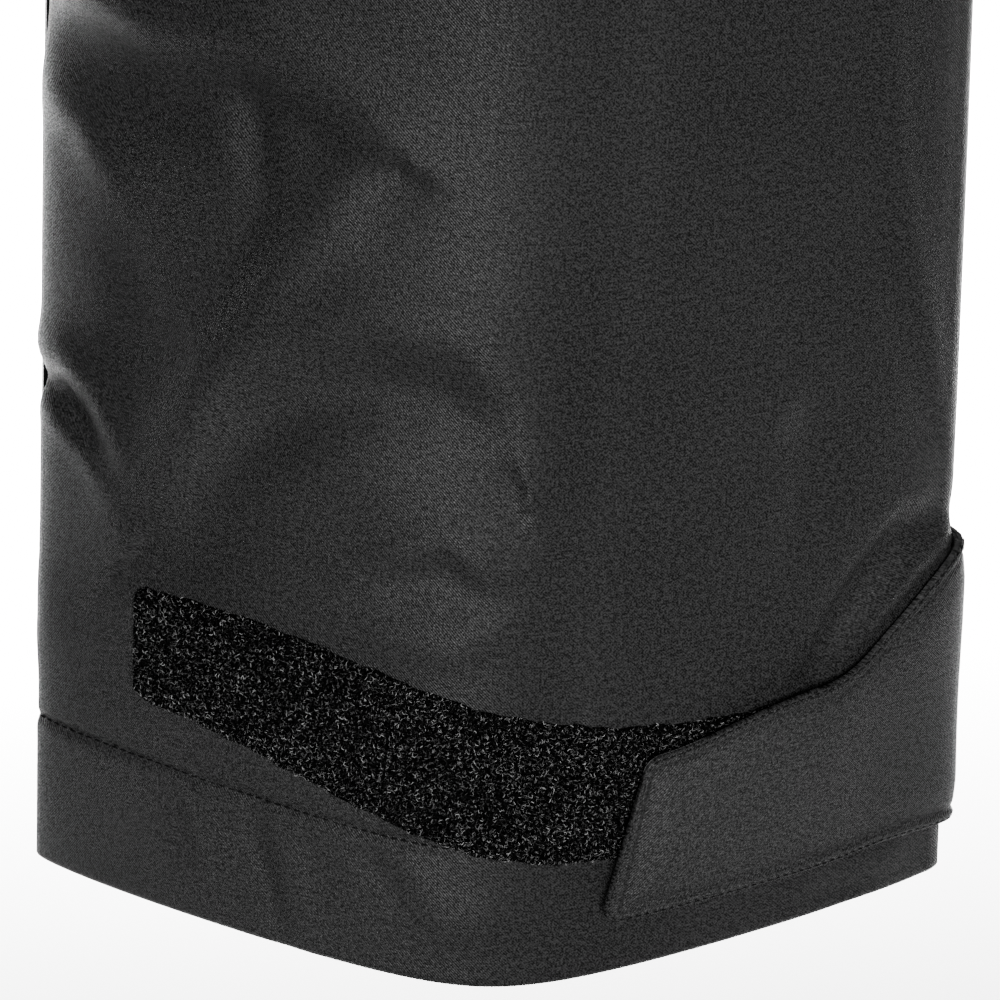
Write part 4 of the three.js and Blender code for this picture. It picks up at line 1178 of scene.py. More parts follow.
@dataclass
class ShellLegs:
    """Front and back panels, yokes, turn-ups and linings."""

    shop: Workshop
    hem: float = 45
    turn: float = 1.3
    seam_width: float = 8
    columns: int = 150

    def ups(self) -> Array:
        """Stops up the cloth, closest in the turn-up and near the cuff."""
        return spread((0, 60, 1.3), (60, 150, 2.0), (150, 330, 3.0), (330, 1019.7, 6.0))

    def hem_line(self, around: Array) -> Array:
        """Height of the stitching that holds the turn-up."""
        return self.hem - 4 + 4 * smooth(np.abs(around), 140, 290)

    def dress_relief(self, around: Array, up: Array, girth: Array) -> Array:
        """Small sewn relief: seam edges, the hem's groove and its puckers."""
        edge = np.minimum(np.abs(around), girth - np.abs(around))
        out = -1.3 * np.exp(-((edge / 1.5) ** 2))
        step = smooth(np.abs(around), self.seam_width + 0.8, self.seam_width - 0.8)
        out = out + 0.45 * step * (1 - smooth(np.abs(around), 2, 0))
        line = self.hem_line(around) - up
        out = out - 0.65 * np.exp(-((line / 1.5) ** 2))
        out = out + 0.35 * smooth(line, 0, 3)
        pucker = np.sin(around / 2.9 * 2 * math.pi * 0.5 + 2 * np.sin(around / 17)) * 0.14
        pucker = pucker + np.sin(around / 9.3 + 1.7 * np.sin(around / 31)) * 0.22
        out = out + pucker * np.exp(-((line / 5) ** 2))
        return out

    def panel(self, side: Side, front: bool) -> bpy.types.Object:
        """One leg panel: a sheet that turns under at the hem."""
        skin = self.shop.skins[side]
        form = skin.form
        shares = np.linspace(0.0012, 0.9988, self.columns if front else 110)
        near = np.array([0.0, 0.004, 0.008]) if front else np.array([0.0, 0.006, 0.012])
        shares = np.unique(np.concatenate([near, shares, 1 - near]))
        ups = self.ups()
        if not front:
            ups = ups[ups < 960]
        turned = np.array([self.hem, 30, 16, 8, 3, 1.2])
        under = np.array([-3.4, -3.2, -2.9, -2.7, -2.5, -2.3])
        rolled = np.array([0.35, 0.0, 0.35])
        roll = np.array([-1.9, -1.2, -0.5])
        up_row = np.concatenate([turned, rolled, ups[1:]])
        out_row = np.concatenate([under, roll, np.zeros(len(ups) - 1)])
        up, share = np.meshgrid(up_row, shares, indexing="ij")
        offset = np.repeat(out_row[:, None], len(shares), 1)
        if not front:
            limit = self.yoke_line(share)
            stretch = np.where(up > 900, 900 + (up - 900) * (limit - 900) / (up_row[-1] - 900), up)
            up = stretch
        sign = 1.0 if front else -1.0
        signed = sign * np.maximum(share, 1e-9)
        girth = form.girth(np.where(signed >= 0, -1, 1), up)
        around = signed * girth
        outside = (np.arange(len(up_row)) >= len(turned))[:, None]
        offset = offset + np.where(outside, self.dress_relief(around, up, girth), 0)
        points = skin.at_share(signed, up, offset)
        uv = np.stack([around, up], -1)
        name = f"{side.word}{'Front' if front else 'Back'}Shell"
        flip = (side is Side.LEFT) == front
        piece = cloth(name, points, uv, flip)
        if front:
            self.open_mouth(piece, around, up)
        node = f"{side.word}{'Front' if front else 'Back'}Panel"
        self.shop.add(piece, "pants", "shell_cloth", "shell", node)
        return piece

    def open_mouth(self, piece: bpy.types.Object, around: Array, up: Array) -> None:
        """Takes the faces out of a front panel where the hand pocket's zip shows."""
        line = PocketLine.of(self.shop.form)
        across, along = line.place(around.ravel(), up.ravel())
        inside = (np.abs(across) < line.mouth / 2 + 1) & (np.abs(along) < line.length / 2)
        mesh = bmesh.new()
        mesh.from_mesh(piece.data)
        mesh.verts.ensure_lookup_table()
        bmesh.ops.delete(mesh, geom=[mesh.verts[int(i)] for i in np.flatnonzero(inside)], context="VERTS")
        mesh.to_mesh(piece.data)
        mesh.free()

    def yoke_line(self, share: Array) -> Array:
        """The back yoke's lower edge."""
        return self.shop.form.band_foot - 52 - 26 * np.abs(share)

    def yoke(self, side: Side) -> None:
        """The shaped panel between the waistband and the back leg panel."""
        skin = self.shop.skins[side]
        form = skin.form
        shares = np.linspace(0, 1, 90)
        rise = np.linspace(0, 1, 24)
        t, share = np.meshgrid(rise, shares, indexing="ij")
        low = self.yoke_line(share) - 0.4
        up = low + (form.band_foot - 0.2 - low) * t
        signed = -np.maximum(share, 1e-9)
        girth = form.girth(np.ones_like(up), up)
        around = signed * girth
        edge = np.minimum.reduce([np.abs(around), girth - np.abs(around), up - low])
        offset = 0.5 - 1.4 * np.exp(-((edge / 1.4) ** 2))
        points = skin.at_share(signed, up, offset)
        piece = cloth(f"{side.word}YokeShell", points, np.stack([around, up], -1), side is Side.RIGHT)
        self.shop.add(piece, "pants", "shell_cloth", "shell", f"{side.word}Yoke")

    def lining(self, side: Side) -> None:
        """The lining, which hangs inside the shell from the waistband to the turn-up."""
        skin = self.shop.skins[side]
        form = skin.form
        shares = np.linspace(1, -1, 161)
        ups = spread((46, 1018, 13))
        up, share = np.meshgrid(ups, shares, indexing="ij")
        depth = 5.4 + 8.6 * smooth(up, 480, 780)
        ripple = 1.1 * np.sin(share * 23 + up / 31) + 0.9 * np.sin(up / 17 + share * 9)
        points = skin.at_share(share, up, -depth - np.abs(ripple), 0.55)
        girth = form.girth(np.where(share >= 0, -1, 1), up)
        piece = cloth(f"{side.word}LiningCloth", points, np.stack([share * girth, up], -1), side is Side.LEFT)
        self.shop.add(piece, "pants", "lining_cloth", "lining", f"{side.word}Lining")

    def facing(self, side: Side) -> None:
        """The facing inside the turn-up."""
        skin = self.shop.skins[side]
        shares = np.linspace(1, -1, 201)
        up, share = np.meshgrid(np.linspace(1.0, self.hem + 1, 14), shares, indexing="ij")
        girth = skin.form.girth(np.where(share >= 0, -1, 1), up)
        points = skin.at_share(share, up, -4.3 + 0.2 * np.sin(share * 90), 0.8)
        piece = cloth(
            f"{side.word}TurnUpFacing", points, np.stack([share * girth, up], -1), side is Side.LEFT
        )
        self.shop.add(piece, "pants", "lining_cloth", "lining", f"{side.word}HemFacing")

    def stitching(self, side: Side) -> None:
        """The row that holds the turn-up, and the two rows beside the yoke's lower edge."""
        skin = self.shop.skins[side]
        lines = []
        for sign in (1, -1):
            reach = float(skin.form.girth(np.array(-sign), np.array(44.0)))
            around = sign * np.arange(3.0, reach - 3, 1.0)
            line = self.hem_line(around)
            lines.append(skin.at(around, line, -0.42))
        self.shop.sew(f"{side.word}HemStitches", lines, "pants", 2.95, 2.2, 0.6)
        rows = []
        shares = -np.linspace(0.02, 0.99, 300)
        for gap in (2.2, 8.0):
            rows.append(skin.at_share(shares, self.yoke_line(shares) + gap, 0.5))
        self.shop.sew(f"{side.word}YokeStitches", rows, "pants")

    def build(self) -> None:
        """Makes everything on both sides."""
        for side in Side:
            self.panel(side, True)
            self.panel(side, False)
            self.yoke(side)
            self.lining(side)
            self.facing(side)
            self.stitching(side)


@dataclass
class Cuff:
    """Loop patch, hook patch and the bagged-out tab at one ankle."""

    shop: Workshop
    side: Side
    root: float = -14
    reach: float = 111
    low: float = 17
    end_height: float = 48
    root_height: float = 90
    patch_start: float = 56
    patch_end: float = 257

    @property
    def skin(self) -> Skin:
        """The leg's skin."""
        return self.shop.skins[self.side]

    def patch_low(self, around: Array) -> Array:
        """The loop patch's lower edge."""
        return 35 + 28 * smooth(around, 110, 265)

    def patch_high(self, around: Array) -> Array:
        """The loop patch's upper edge."""
        return 70 + 27 * smooth(around, 70, 235)

    def tab_low(self, around: Array) -> Array:
        """The tab's lower edge."""
        return self.low - 3 * smooth(around, 30, self.root)

    def tab_high(self, around: Array) -> Array:
        """The tab's upper edge, which sweeps up to its sewn root."""
        body = self.end_height + 8 * smooth(around, self.reach, 50)
        flare = smooth(around, 52, self.root)
        return self.low + body + (self.root_height - self.end_height - 8) * flare

    def tab_lift(self, around: Array) -> Array:
        """How far the tab stands off the shell."""
        return 0.9 + 3.0 * smooth(around, self.patch_start - 30, self.patch_start - 4)

    def patch(self) -> None:
        """The die-cut loop patch and its fibres."""
        along = graded(self.patch_end - self.patch_start, 1.6)
        span = spread((0, 1, 0.04))
        t, a = np.meshgrid(span, along, indexing="ij")
        around = self.patch_start + a
        trim = corner_trim((self.patch_end - around), 4)
        wave = 0.25 * np.sin(around / 3.1) + 0.2 * np.sin(around / 1.3)
        low = self.patch_low(around) + trim + wave
        high = self.patch_high(around) - trim + wave
        up = low + (high - low) * t
        inside = np.minimum(np.minimum(a, along[-1] - a), np.minimum(up - low, high - up))
        height = 0.25 + rolled_edge(inside, 1.2, 0.8)
        outer = self.skin.at(around, up, height)
        inner = self.skin.at(around, up, np.full_like(up, 0.05))
        uv = np.stack([around, up], -1)
        flip = self.side is Side.LEFT
        name = f"{self.side.word}LoopPatch"
        piece = closed(name, outer, inner, uv, flip)
        source = cloth(name + "Source", outer, uv, flip)
        self.shop.add(piece, "pants", "loop_ground", "loop", f"{self.side.word}CuffLoopPatch")
        sizes = {
            "Density": 3.4e6 if self.side is Side.LEFT else 1.6e6, "Size": 0.0009, "Width": 0.00011, "Seed": 3
        }
        fibres = self.shop.fibres.run(f"{self.side.word}LoopFibres", source, sizes)
        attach(fibres, "pants")
        LOG.info("%s: %d faces", fibres.name, len(fibres.data.polygons))

    def tab_grid(self, inset: float) -> tuple[Array, Array, Array, Array]:
        """Around, up, distance from the edge and cloth coordinates over the tab."""
        along = graded(self.reach - self.root, 1.8)
        span = graded(60, 1.6) / 60
        t, a = np.meshgrid(span, along, indexing="ij")
        around = self.root + a
        from_end = self.reach - around
        trim = corner_trim(from_end, 5.5) + inset
        low = self.tab_low(around) + trim
        high = self.tab_high(around) - trim
        up = low + (high - low) * t
        slant = (10 * t - 5) * smooth(around, 70, self.reach)
        edge = np.minimum.reduce([from_end - inset, (up - low) * 1.0, (high - up) * 1.0])
        shifted = np.minimum(around, self.reach - inset) - slant
        return shifted, up, np.maximum(edge, 0), np.stack([shifted, up], -1)

    def tab(self) -> None:
        """The tab's outer layer with its stitched, rolled edge, and its facing."""
        around, up, edge, uv = self.tab_grid(0)
        lift = self.tab_lift(around)
        face = rolled_edge(edge, 1.7, 1.0)
        face = face + 0.35 * np.exp(
            -(((edge - 2.3) / 1.0) ** 2)
        ) - 0.55 * np.exp(-(((edge - 4.1) / 0.9) ** 2))
        face = face - 0.3 * np.exp(-(((edge - 1.05) / 0.35) ** 2))
        crown = 0.5 * smooth(edge, 4, 14)
        sway = 0.5 * np.sin(around / 19 + 0.8) * smooth(edge, 2, 12) + 0.3 * np.sin(up / 11 + around / 23)
        flip = self.side is Side.LEFT
        outer = self.skin.at(around, up, lift + 1.0 + face + crown + sway * 0.7, 0.35)
        inner = self.skin.at(around, up, lift + 0.9 + 0 * up, 0.35)
        piece = closed(f"{self.side.word}TabOuter", outer, inner, uv, flip)
        body = f"{self.side.body}_cuff"
        self.finish_tab(piece, body, "tab_cloth", f"{self.side.word}CuffTab")
        around, up, edge, uv = self.tab_grid(0.5)
        top = self.skin.at(around, up, lift + 0.8 + 0 * up, 0.35)
        base = self.skin.at(around, up, lift + 0.8 - rolled_edge(edge, 0.8, 0.8), 0.35)
        facing = closed(f"{self.side.word}TabFacing", top, base, uv, flip)
        self.finish_tab(facing, body, "shell_cloth", f"{self.side.word}CuffTabFacing")

    def finish_tab(self, piece: bpy.types.Object, body: str, finish: str, node: str) -> None:
        """Dresses a layer of the tab, hides its CAD node and bakes its transform."""
        self.shop.finishes.dress(piece, finish)
        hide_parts(node)
        self.bend(piece, body)

    def bend(self, piece: bpy.types.Object, body: str) -> None:
        """Bakes the piece's transform; the root and far points it works out are not used."""
        start = self.skin.at(np.array(self.root), np.array(50.0), 0, 0)[..., :] * MM
        end = self.skin.at(np.array(6.0), np.array(50.0), 0, 0)[..., :] * MM
        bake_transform(piece)

    def stitching(self) -> None:
        """The row round the tab, a millimetre inside its edge."""
        around = np.arange(self.root + 2, self.reach - 5, 1.0)
        inset = 1.1
        corner = 5.5
        slant = smooth(around, 70, self.reach)
        high = np.stack([around - 5 * slant, self.tab_high(around) - inset], -1)
        low = np.stack([around + 5 * slant, self.tab_low(around) + inset], -1)
        turn = np.linspace(0, math.pi / 2, 9)
        radius = corner - inset
        top_bend = [
            (self.reach - 5 - corner + radius * math.sin(a), float(high[-1, 1]) - radius * (1 - math.cos(a)))
            for a in turn
        ]
        low_bend = [
            (self.reach + 5 - corner + radius * math.sin(a), float(low[-1, 1]) + radius * (1 - math.cos(a)))
            for a in turn
        ]
        outline = np.concatenate([high, top_bend, np.array(low_bend)[::-1], low[::-1]])
        lift = self.tab_lift(outline[:, 0]) + 2.75
        line = self.skin.at(outline[:, 0], outline[:, 1], lift, 0.35)
        piece = self.shop.stitches.run(
            f"{self.side.word}TabStitches",
            path_object("tab_path", [line]),
            {"Pitch": 0.0026, "Length": 0.0016, "Thickness": 0.0004},
        )
        self.bend(piece, f"{self.side.body}_cuff")

    def hooks(self) -> None:
        """The hook patch under the tab's free end."""
        t, a = np.meshgrid(graded(16, 2, 2), graded(32, 2, 2), indexing="ij")
        around, up = self.reach - 44 + a, 46 + t
        edge = np.minimum.reduce([a, 32 - a, t, 16 - t])
        outer = self.skin.at(around, up, 2.0 + rolled_edge(edge, 0.9, 0.4), 0.35)
        inner = self.skin.at(around, up, 2.0 + 0 * up, 0.35)
        piece = closed(
            f"{self.side.word}HookPatch", outer, inner, np.stack([around, up], -1), self.side is Side.LEFT
        )
        body = f"{self.side.body}_cuff"
        self.shop.add(piece, body, "hook_plastic", "hook", f"{self.side.word}CuffHookPatch")

    def build(self) -> None:
        """Makes the whole cuff."""
        self.patch()
        self.tab()
        self.stitching()
        self.hooks()


@dataclass
class Studio:
    """Floor, lights and camera."""

    finishes: Finishes
    distance: float = 1600
    azimuth: float = -1.14
    elevation: float = 17.75
    roll: float = 1.11
    scale: float = 0.2706
    target: tuple[float, float, float] = (151.3, -50.0, -925.3)
    surround: float = 0.75
    key: float = 15
    wash: float = 900
    low: float = 6.5

    def camera(self) -> None:
        """The camera, square on the left ankle, a little above it."""
        az, el, roll = (math.radians(v) for v in (self.azimuth, self.elevation, self.roll))
        back = Vector((math.sin(az) * math.cos(el), -math.cos(az) * math.cos(el), math.sin(el)))
        right = Vector((0, 0, 1)).cross(back).normalized()
        up = back.cross(right)
        turned = right * math.cos(roll) + up * math.sin(roll)
        upright = up * math.cos(roll) - right * math.sin(roll)
        data = bpy.data.cameras.new("camera")
        data.sensor_width = 36
        data.lens = 36 * self.distance / (1000 * self.scale)
        data.clip_start, data.clip_end = 0.05, 50
        camera = bpy.data.objects.new("camera", data)
        place = Matrix((turned, upright, back)).transposed().to_4x4()
        place.translation = Vector(self.target) * MM + back * self.distance * MM
        camera.matrix_world = place
        bpy.context.scene.collection.objects.link(camera)
        bpy.context.scene.camera = camera

    def light(
        self,
        name: str,
        place: tuple[float, float, float],
        size: float,
        power: float,
        aim: tuple[float, float, float],
        spread: float,
    ) -> None:
        """One soft square light, aimed at a point, with its beam's width in degrees."""
        data = bpy.data.lights.new(name, "AREA")
        data.shape = "SQUARE"
        data.size = size
        data.energy = power
        data.spread = math.radians(spread)
        lamp = bpy.data.objects.new(name, data)
        lamp.location = place
        lamp.rotation_euler = (Vector(aim) - Vector(place)).to_track_quat("-Z", "Y").to_euler()
        bpy.context.scene.collection.objects.link(lamp)

    def floor(self) -> None:
        """A wide, plain, pale floor a little below the hems."""
        grid = np.array([[(x, y, -1160.0) for x in (-15000, 15000)] for y in (-15000, 15000)], float)
        piece = cloth("studio_floor", grid, grid[..., :2], False)
        self.finishes.dress(piece, "floor_card")

    def world(self) -> None:
        """An even pale surround."""
        world = bpy.data.worlds.new("surround")
        world.use_nodes = True
        background = world.node_tree.nodes["Background"]
        background.inputs[0].default_value = (1, 1, 1, 1)
        background.inputs[1].default_value = self.surround
        bpy.context.scene.world = world

    def build(self) -> None:
        """Makes the studio."""
        self.camera()
        self.floor()
        self.world()
        self.light("key", (0.3, -2.3, -0.5), 0.5, self.key, (0.15, 0, -0.9), 70)
        self.light("low", (0.5, -1.5, -0.98), 0.32, self.low, (0.15, 0, -0.9), 60)
        self.light("wash", (-0.1, 2.0, 1.2), 2.0, self.wash, (-0.05, 1.75, -1.16), 48)


@dataclass
class Waist:
    """Waistband, waist tab, belt loops and side adjusters."""

    shop: Workshop
    tab_root: float = 44
    tab_end: float = -48
    stand_off: float = 9
    loop_width: float = 11

    def on_band(self, around: Array, up: Array, offset: Array, side: int = 1) -> Array:
        """Points on the band, from the distance round from the outseam; positive to the front."""
        form = self.shop.form
        face = np.where(around >= 0, -1, 1)
        level = np.full(np.shape(around), form.band_foot)
        share = np.abs(around) / form.girth(face, level)
        points = form.section(face, form.angle(face, share, level), up, offset)
        points[..., 0] *= side
        return points

    def on_front(self, x: Array, up: Array, offset: Array) -> Array:
        """Points on the garment's front at a distance sideways from its centre."""
        sizes = self.shop.form.sizes(up)
        half = sizes[..., 0] + sizes[..., 1]
        across = np.minimum(np.abs(x) / (half + offset), 1)
        depth = (sizes[..., 2] + offset) * np.sqrt(1 - across**2)
        return np.stack(np.broadcast_arrays(x, sizes[..., 4] - depth, up - self.shop.form.top), -1)

    def ring(self, name: str, profile: Sequence[tuple[float, float]], wave: float) -> bpy.types.Object:
        """A closed hoop round the waist from a closed profile of (offset, up)."""
        form = self.shop.form
        turn = np.linspace(-math.pi / 2, 1.5 * math.pi, 401)[:-1]
        points, uv = [], []
        for offset, up in profile:
            ripple = wave * np.sin(turn * 37 + up / 9) * np.sin(turn * 11 + 1)
            out = offset + ripple * (1 if offset > -0.6 else 0)
            x = (form.waist_width + out) * np.cos(turn)
            y = (form.waist_depth + out) * np.sin(turn)
            points.append(np.stack([x, y, np.full_like(turn, up - form.top)], -1))
            uv.append(np.stack([turn * 140, np.full_like(turn, up)], -1))
        grid = np.array(points)
        rows, columns = grid.shape[:2]
        faces = []
        for row in range(rows):
            base, above = row * columns, ((row + 1) % rows) * columns
            for column in range(columns):
                beside = (column + 1) % columns
                faces.append((base + column, base + beside, above + beside, above + column))
        return new_object(name, grid.reshape(-1, 3), faces, np.array(uv).reshape(-1, 2))

    def band(self) -> None:
        """The waistband's shell and facing, with a row of stitches along its top and one along its foot."""
        form = self.shop.form
        foot, top = form.band_foot + 0.3, form.top
        rise = np.linspace(foot, top - 1.2, 14)
        bulge = 0.5 * np.sin((rise - foot) / (top - 1.2 - foot) * math.pi)
        outer = [(float(b) - 0.3, float(h)) for b, h in zip(bulge, rise)]
        rolled = [(-0.7, top - 0.3), (-1.2, top), (-1.8, top - 0.3)]
        inner = [(-2.3, float(h)) for h in rise[::-1]]
        shell = self.ring("WaistbandCloth", outer + rolled + inner, 0.25)
        self.shop.add(shell, "pants", "shell_cloth", "shell", "WaistbandShell")
        profile = [(-2.75, foot), (-2.75, top - 1.2), (-3.2, top - 0.9), (-3.85, top - 1.4), (-3.85, foot)]
        facing = self.ring("WaistbandLining", profile, 0)
        self.shop.add(facing, "pants", "lining_cloth", "lining", "WaistbandFacing")
        rows = []
        for up in (form.top - 3.0, form.band_foot + 3.0):
            turn = np.linspace(-math.pi / 2 + 0.01, 1.5 * math.pi - 0.01, 900)
            bulge = 0.5 * math.sin((up - foot) / (top - 1.2 - foot) * math.pi) - 0.3
            x = (form.waist_width + bulge) * np.cos(turn)
            y = (form.waist_depth + bulge) * np.sin(turn)
            rows.append(np.stack([x, y, np.full_like(turn, up - form.top)], -1))
        self.shop.sew("WaistbandStitches", rows, "pants")

    def tab(self) -> None:
        """The tab that closes the waistband over its snap."""
        form = self.shop.form
        middle = form.top - form.band / 2
        a = graded(self.tab_root - self.tab_end, 2.5, 3)
        span = graded(36, 2.5, 3) / 36
        t, reach = np.meshgrid(span, a, indexing="ij")
        x = self.tab_root - reach
        trim = corner_trim(self.tab_root - self.tab_end - reach, 14) * 0.8
        half = form.band / 2 - 2 - trim
        up = middle + half * (2 * t - 1)
        lift = 0.3 + 3.8 * smooth(-x, -30, 4)
        edge = np.minimum.reduce(
            [reach, self.tab_root - self.tab_end - reach, up - middle + half, middle + half - up]
        )
        groove = -0.25 * np.exp(-(((edge - 2) / 0.5) ** 2))
        outer = self.on_front(x, up, lift + rolled_edge(edge, 1.8, 0.9) + groove)
        inner = self.on_front(x, up, lift)
        piece = closed("WaistTabCloth", outer, inner, np.stack([x, up], -1), False)
        self.shop.add(piece, "waist_tab", "trim_webbing", "trim", "WaistTab")

    def belt_loop(self, name: str, place: Callable[[Array, Array, Array], Array], flip: bool) -> None:
        """One belt loop: a bent strip that stands off the band."""
        reach = self.stand_off
        outside = ((0, -52), (0.6, -51.3), (reach - 2, -49), (reach - 0.4, -47),
                   (reach, -45), (reach, -25), (reach, -5),
                   (reach - 0.4, -3.2), (reach - 2, -1.6), (0.6, -0.4), (0, 0))
        inside = ((0, -49.6), (0.4, -49.3), (reach - 3.2, -47.2), (reach - 2.2, -45.6),
                  (reach - 1.8, -44), (reach - 1.8, -25),
                  (reach - 1.8, -6.4), (reach - 2.2, -4.9), (reach - 3.2, -3.8), (0.4, -2.7), (0, -2.4))
        width = np.array([0, 0.3, 1.2, 3.5, 5.5, 7.5, 9.8, 10.7, 11]) - self.loop_width / 2
        grids = []
        for line in (outside, inside):
            out = np.array([p[0] for p in line], float)[:, None] + 0.3
            up = self.shop.form.top - 1 + np.array([p[1] for p in line], float)[:, None]
            across = np.repeat(width[None], len(line), 0)
            grids.append(place(across, np.repeat(up, len(width), 1), np.repeat(out, len(width), 1)))
        uv = np.stack(np.meshgrid(width, np.arange(len(outside)) * 6.0), -1)
        piece = closed(f"{name}Strip", grids[0], grids[1], uv, flip)
        self.shop.add(piece, "pants", "trim_webbing", "trim", name)

    def loops(self) -> None:
        """The five belt loops."""
        form = self.shop.form
        level = np.array(form.band_foot)
        for side in Side:
            front = 0.74 * float(form.girth(np.array(-1), level))
            rear = -0.7 * float(form.girth(np.array(1), level))
            for word, middle in (("Front", front), ("Rear", rear)):
                place = lambda a, u, o, m=middle, s=side.value: self.on_band(m + a, u, o, s)
                self.belt_loop(f"{side.word}{word}BeltLoop", place, side is Side.LEFT)
        centre = lambda a, u, o: np.stack([a, form.sizes(u)[..., 3] + o, u - form.top], -1)
        self.belt_loop("BackBeltLoop", centre, True)

    def adjuster(self, side: Side) -> None:
        """One side adjuster: loop patch, hook patch and webbing tab."""
        place = lambda a, u, o: self.on_band(a, u, o, side.value)
        middle = self.shop.form.top - self.shop.form.band / 2
        flip = side is Side.LEFT

        def layer(start: float, end: float, height: float, low: float, thick: float) -> Strip:
            """One layer of the adjuster, centred on the band."""
            across = start + graded(end - start, 2.5, 2)
            return Strip(place, across, middle - height / 2 + graded(height, 2, 2), low, thick, 0.6, flip)
        loop = layer(-30, 66, 28, 0.3, 1.1).make(f"{side.word}AdjusterPile")
        self.shop.add(loop, "pants", "loop_ground", "loop", f"{side.word}AdjusterLoop")
        hook = layer(4, 36, 18, 2.0, 0.8).make(f"{side.word}AdjusterHooks")
        self.shop.add(hook, f"{side.body}_adjuster", "hook_plastic", "hook", f"{side.word}AdjusterHook")
        ribs = lambda a, t: 0.12 * np.cos(a * 2.6) * smooth(np.abs(t - middle), 12, 10)
        strip = layer(-70, 44, 24, 3.3, 1.6)
        tab = strip.make(f"{side.word}AdjusterWebbing", ribs)
        self.shop.add(tab, f"{side.body}_adjuster", "trim_webbing", "trim", f"{side.word}AdjusterTab")

    def build(self) -> None:
        """Makes the whole waist."""
        self.band()
        self.tab()
        self.loops()
        for side in Side:
            self.adjuster(side)


@dataclass
class Fly:
    """Fly flap, shield, and the zip behind the flap."""

    shop: Workshop
    waist: Waist
    length: float = 168
    inset: float = 4.6

    def flap(self) -> None:
        """The flap over the zip, whose free edge curves in at its foot, and its stitches."""
        foot = self.shop.form.band_foot - self.length
        ups = foot - 16 + graded(self.length + 15, 3, 3)
        span = graded(46, 2.5, 3) / 46
        up, t = np.meshgrid(ups, span, indexing="ij")
        end = -16 + 18 * (1 - smooth(up, foot - 16, foot + 38))
        x = 30 + (end - 30) * t
        edge = np.minimum.reduce([30 - x, x - end, up - ups[0], ups[-1] - up])
        wave = 0.35 * np.sin(up / 13 + x / 9) * smooth(edge, 2, 10)
        outer = self.waist.on_front(x, up, 2.6 + rolled_edge(edge, 1.8, 0.9) + wave)
        inner = self.waist.on_front(x, up, np.full_like(x, 2.6))
        piece = closed("FlyFlapCloth", outer, inner, np.stack([x, up], -1), True)
        self.shop.add(piece, "pants", "shell_cloth", "shell", "FlyFlap")
        line = np.linspace(foot - 6, ups[-1] - 2, 160)
        lines = []
        for inset in (3.0, 9.0):
            edge_x = -16 + 18 * (1 - smooth(line, foot - 16, foot + 38)) + inset
            lines.append(self.waist.on_front(edge_x, line, np.full_like(line, 4.35)))
        self.shop.sew("FlyStitches", lines, "pants")

    def shield(self) -> None:
        """The shield behind the zip."""
        foot = self.shop.form.band_foot - self.length
        strip = Strip(
            self.waist.on_front,
            28 - graded(52, 4, 3),
            foot - 8 + graded(self.length + 7, 5, 3),
            -10.6,
            1.2,
            flip=False,
        )
        piece = strip.make("FlyShieldCloth")
        self.shop.add(piece, "pants", "lining_cloth", "lining", "FlyShield")
        strip.flat

    def zip(self) -> None:
        """Two tapes and their teeth."""
        y = self.inset - self.shop.form.waist_depth
        top = -self.shop.form.band - 1
        place = lambda a, u, o: np.stack([a, y - o, u], -1)
        lines = []
        for word, sign in (("Left", 1), ("Right", -1)):
            across = np.sort(sign * (0.8 + graded(13, 2, 2)))
            strip = Strip(place, across, top - self.length + graded(self.length, 4, 2), -0.4, 0.8, 0.3)
            tape = strip.make(f"FlyTape{word}Cloth")
            self.shop.add(tape, "pants", "zip_tape", "zip", f"FlyZipTape{word}")
            ups = np.linspace(top - self.length + 1, top - 1, 120)
            lines.append(np.stack([np.full_like(ups, sign * 1.5), np.full_like(ups, y - 0.55), ups], -1))
        teeth = self.shop.teeth.run("FlyTeeth", path_object("fly_teeth_path", lines), {"Pitch": 0.0026})
        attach(teeth, "pants")

    def build(self) -> None:
        """Makes the whole fly."""
        self.flap()
        self.shield()
        self.zip()


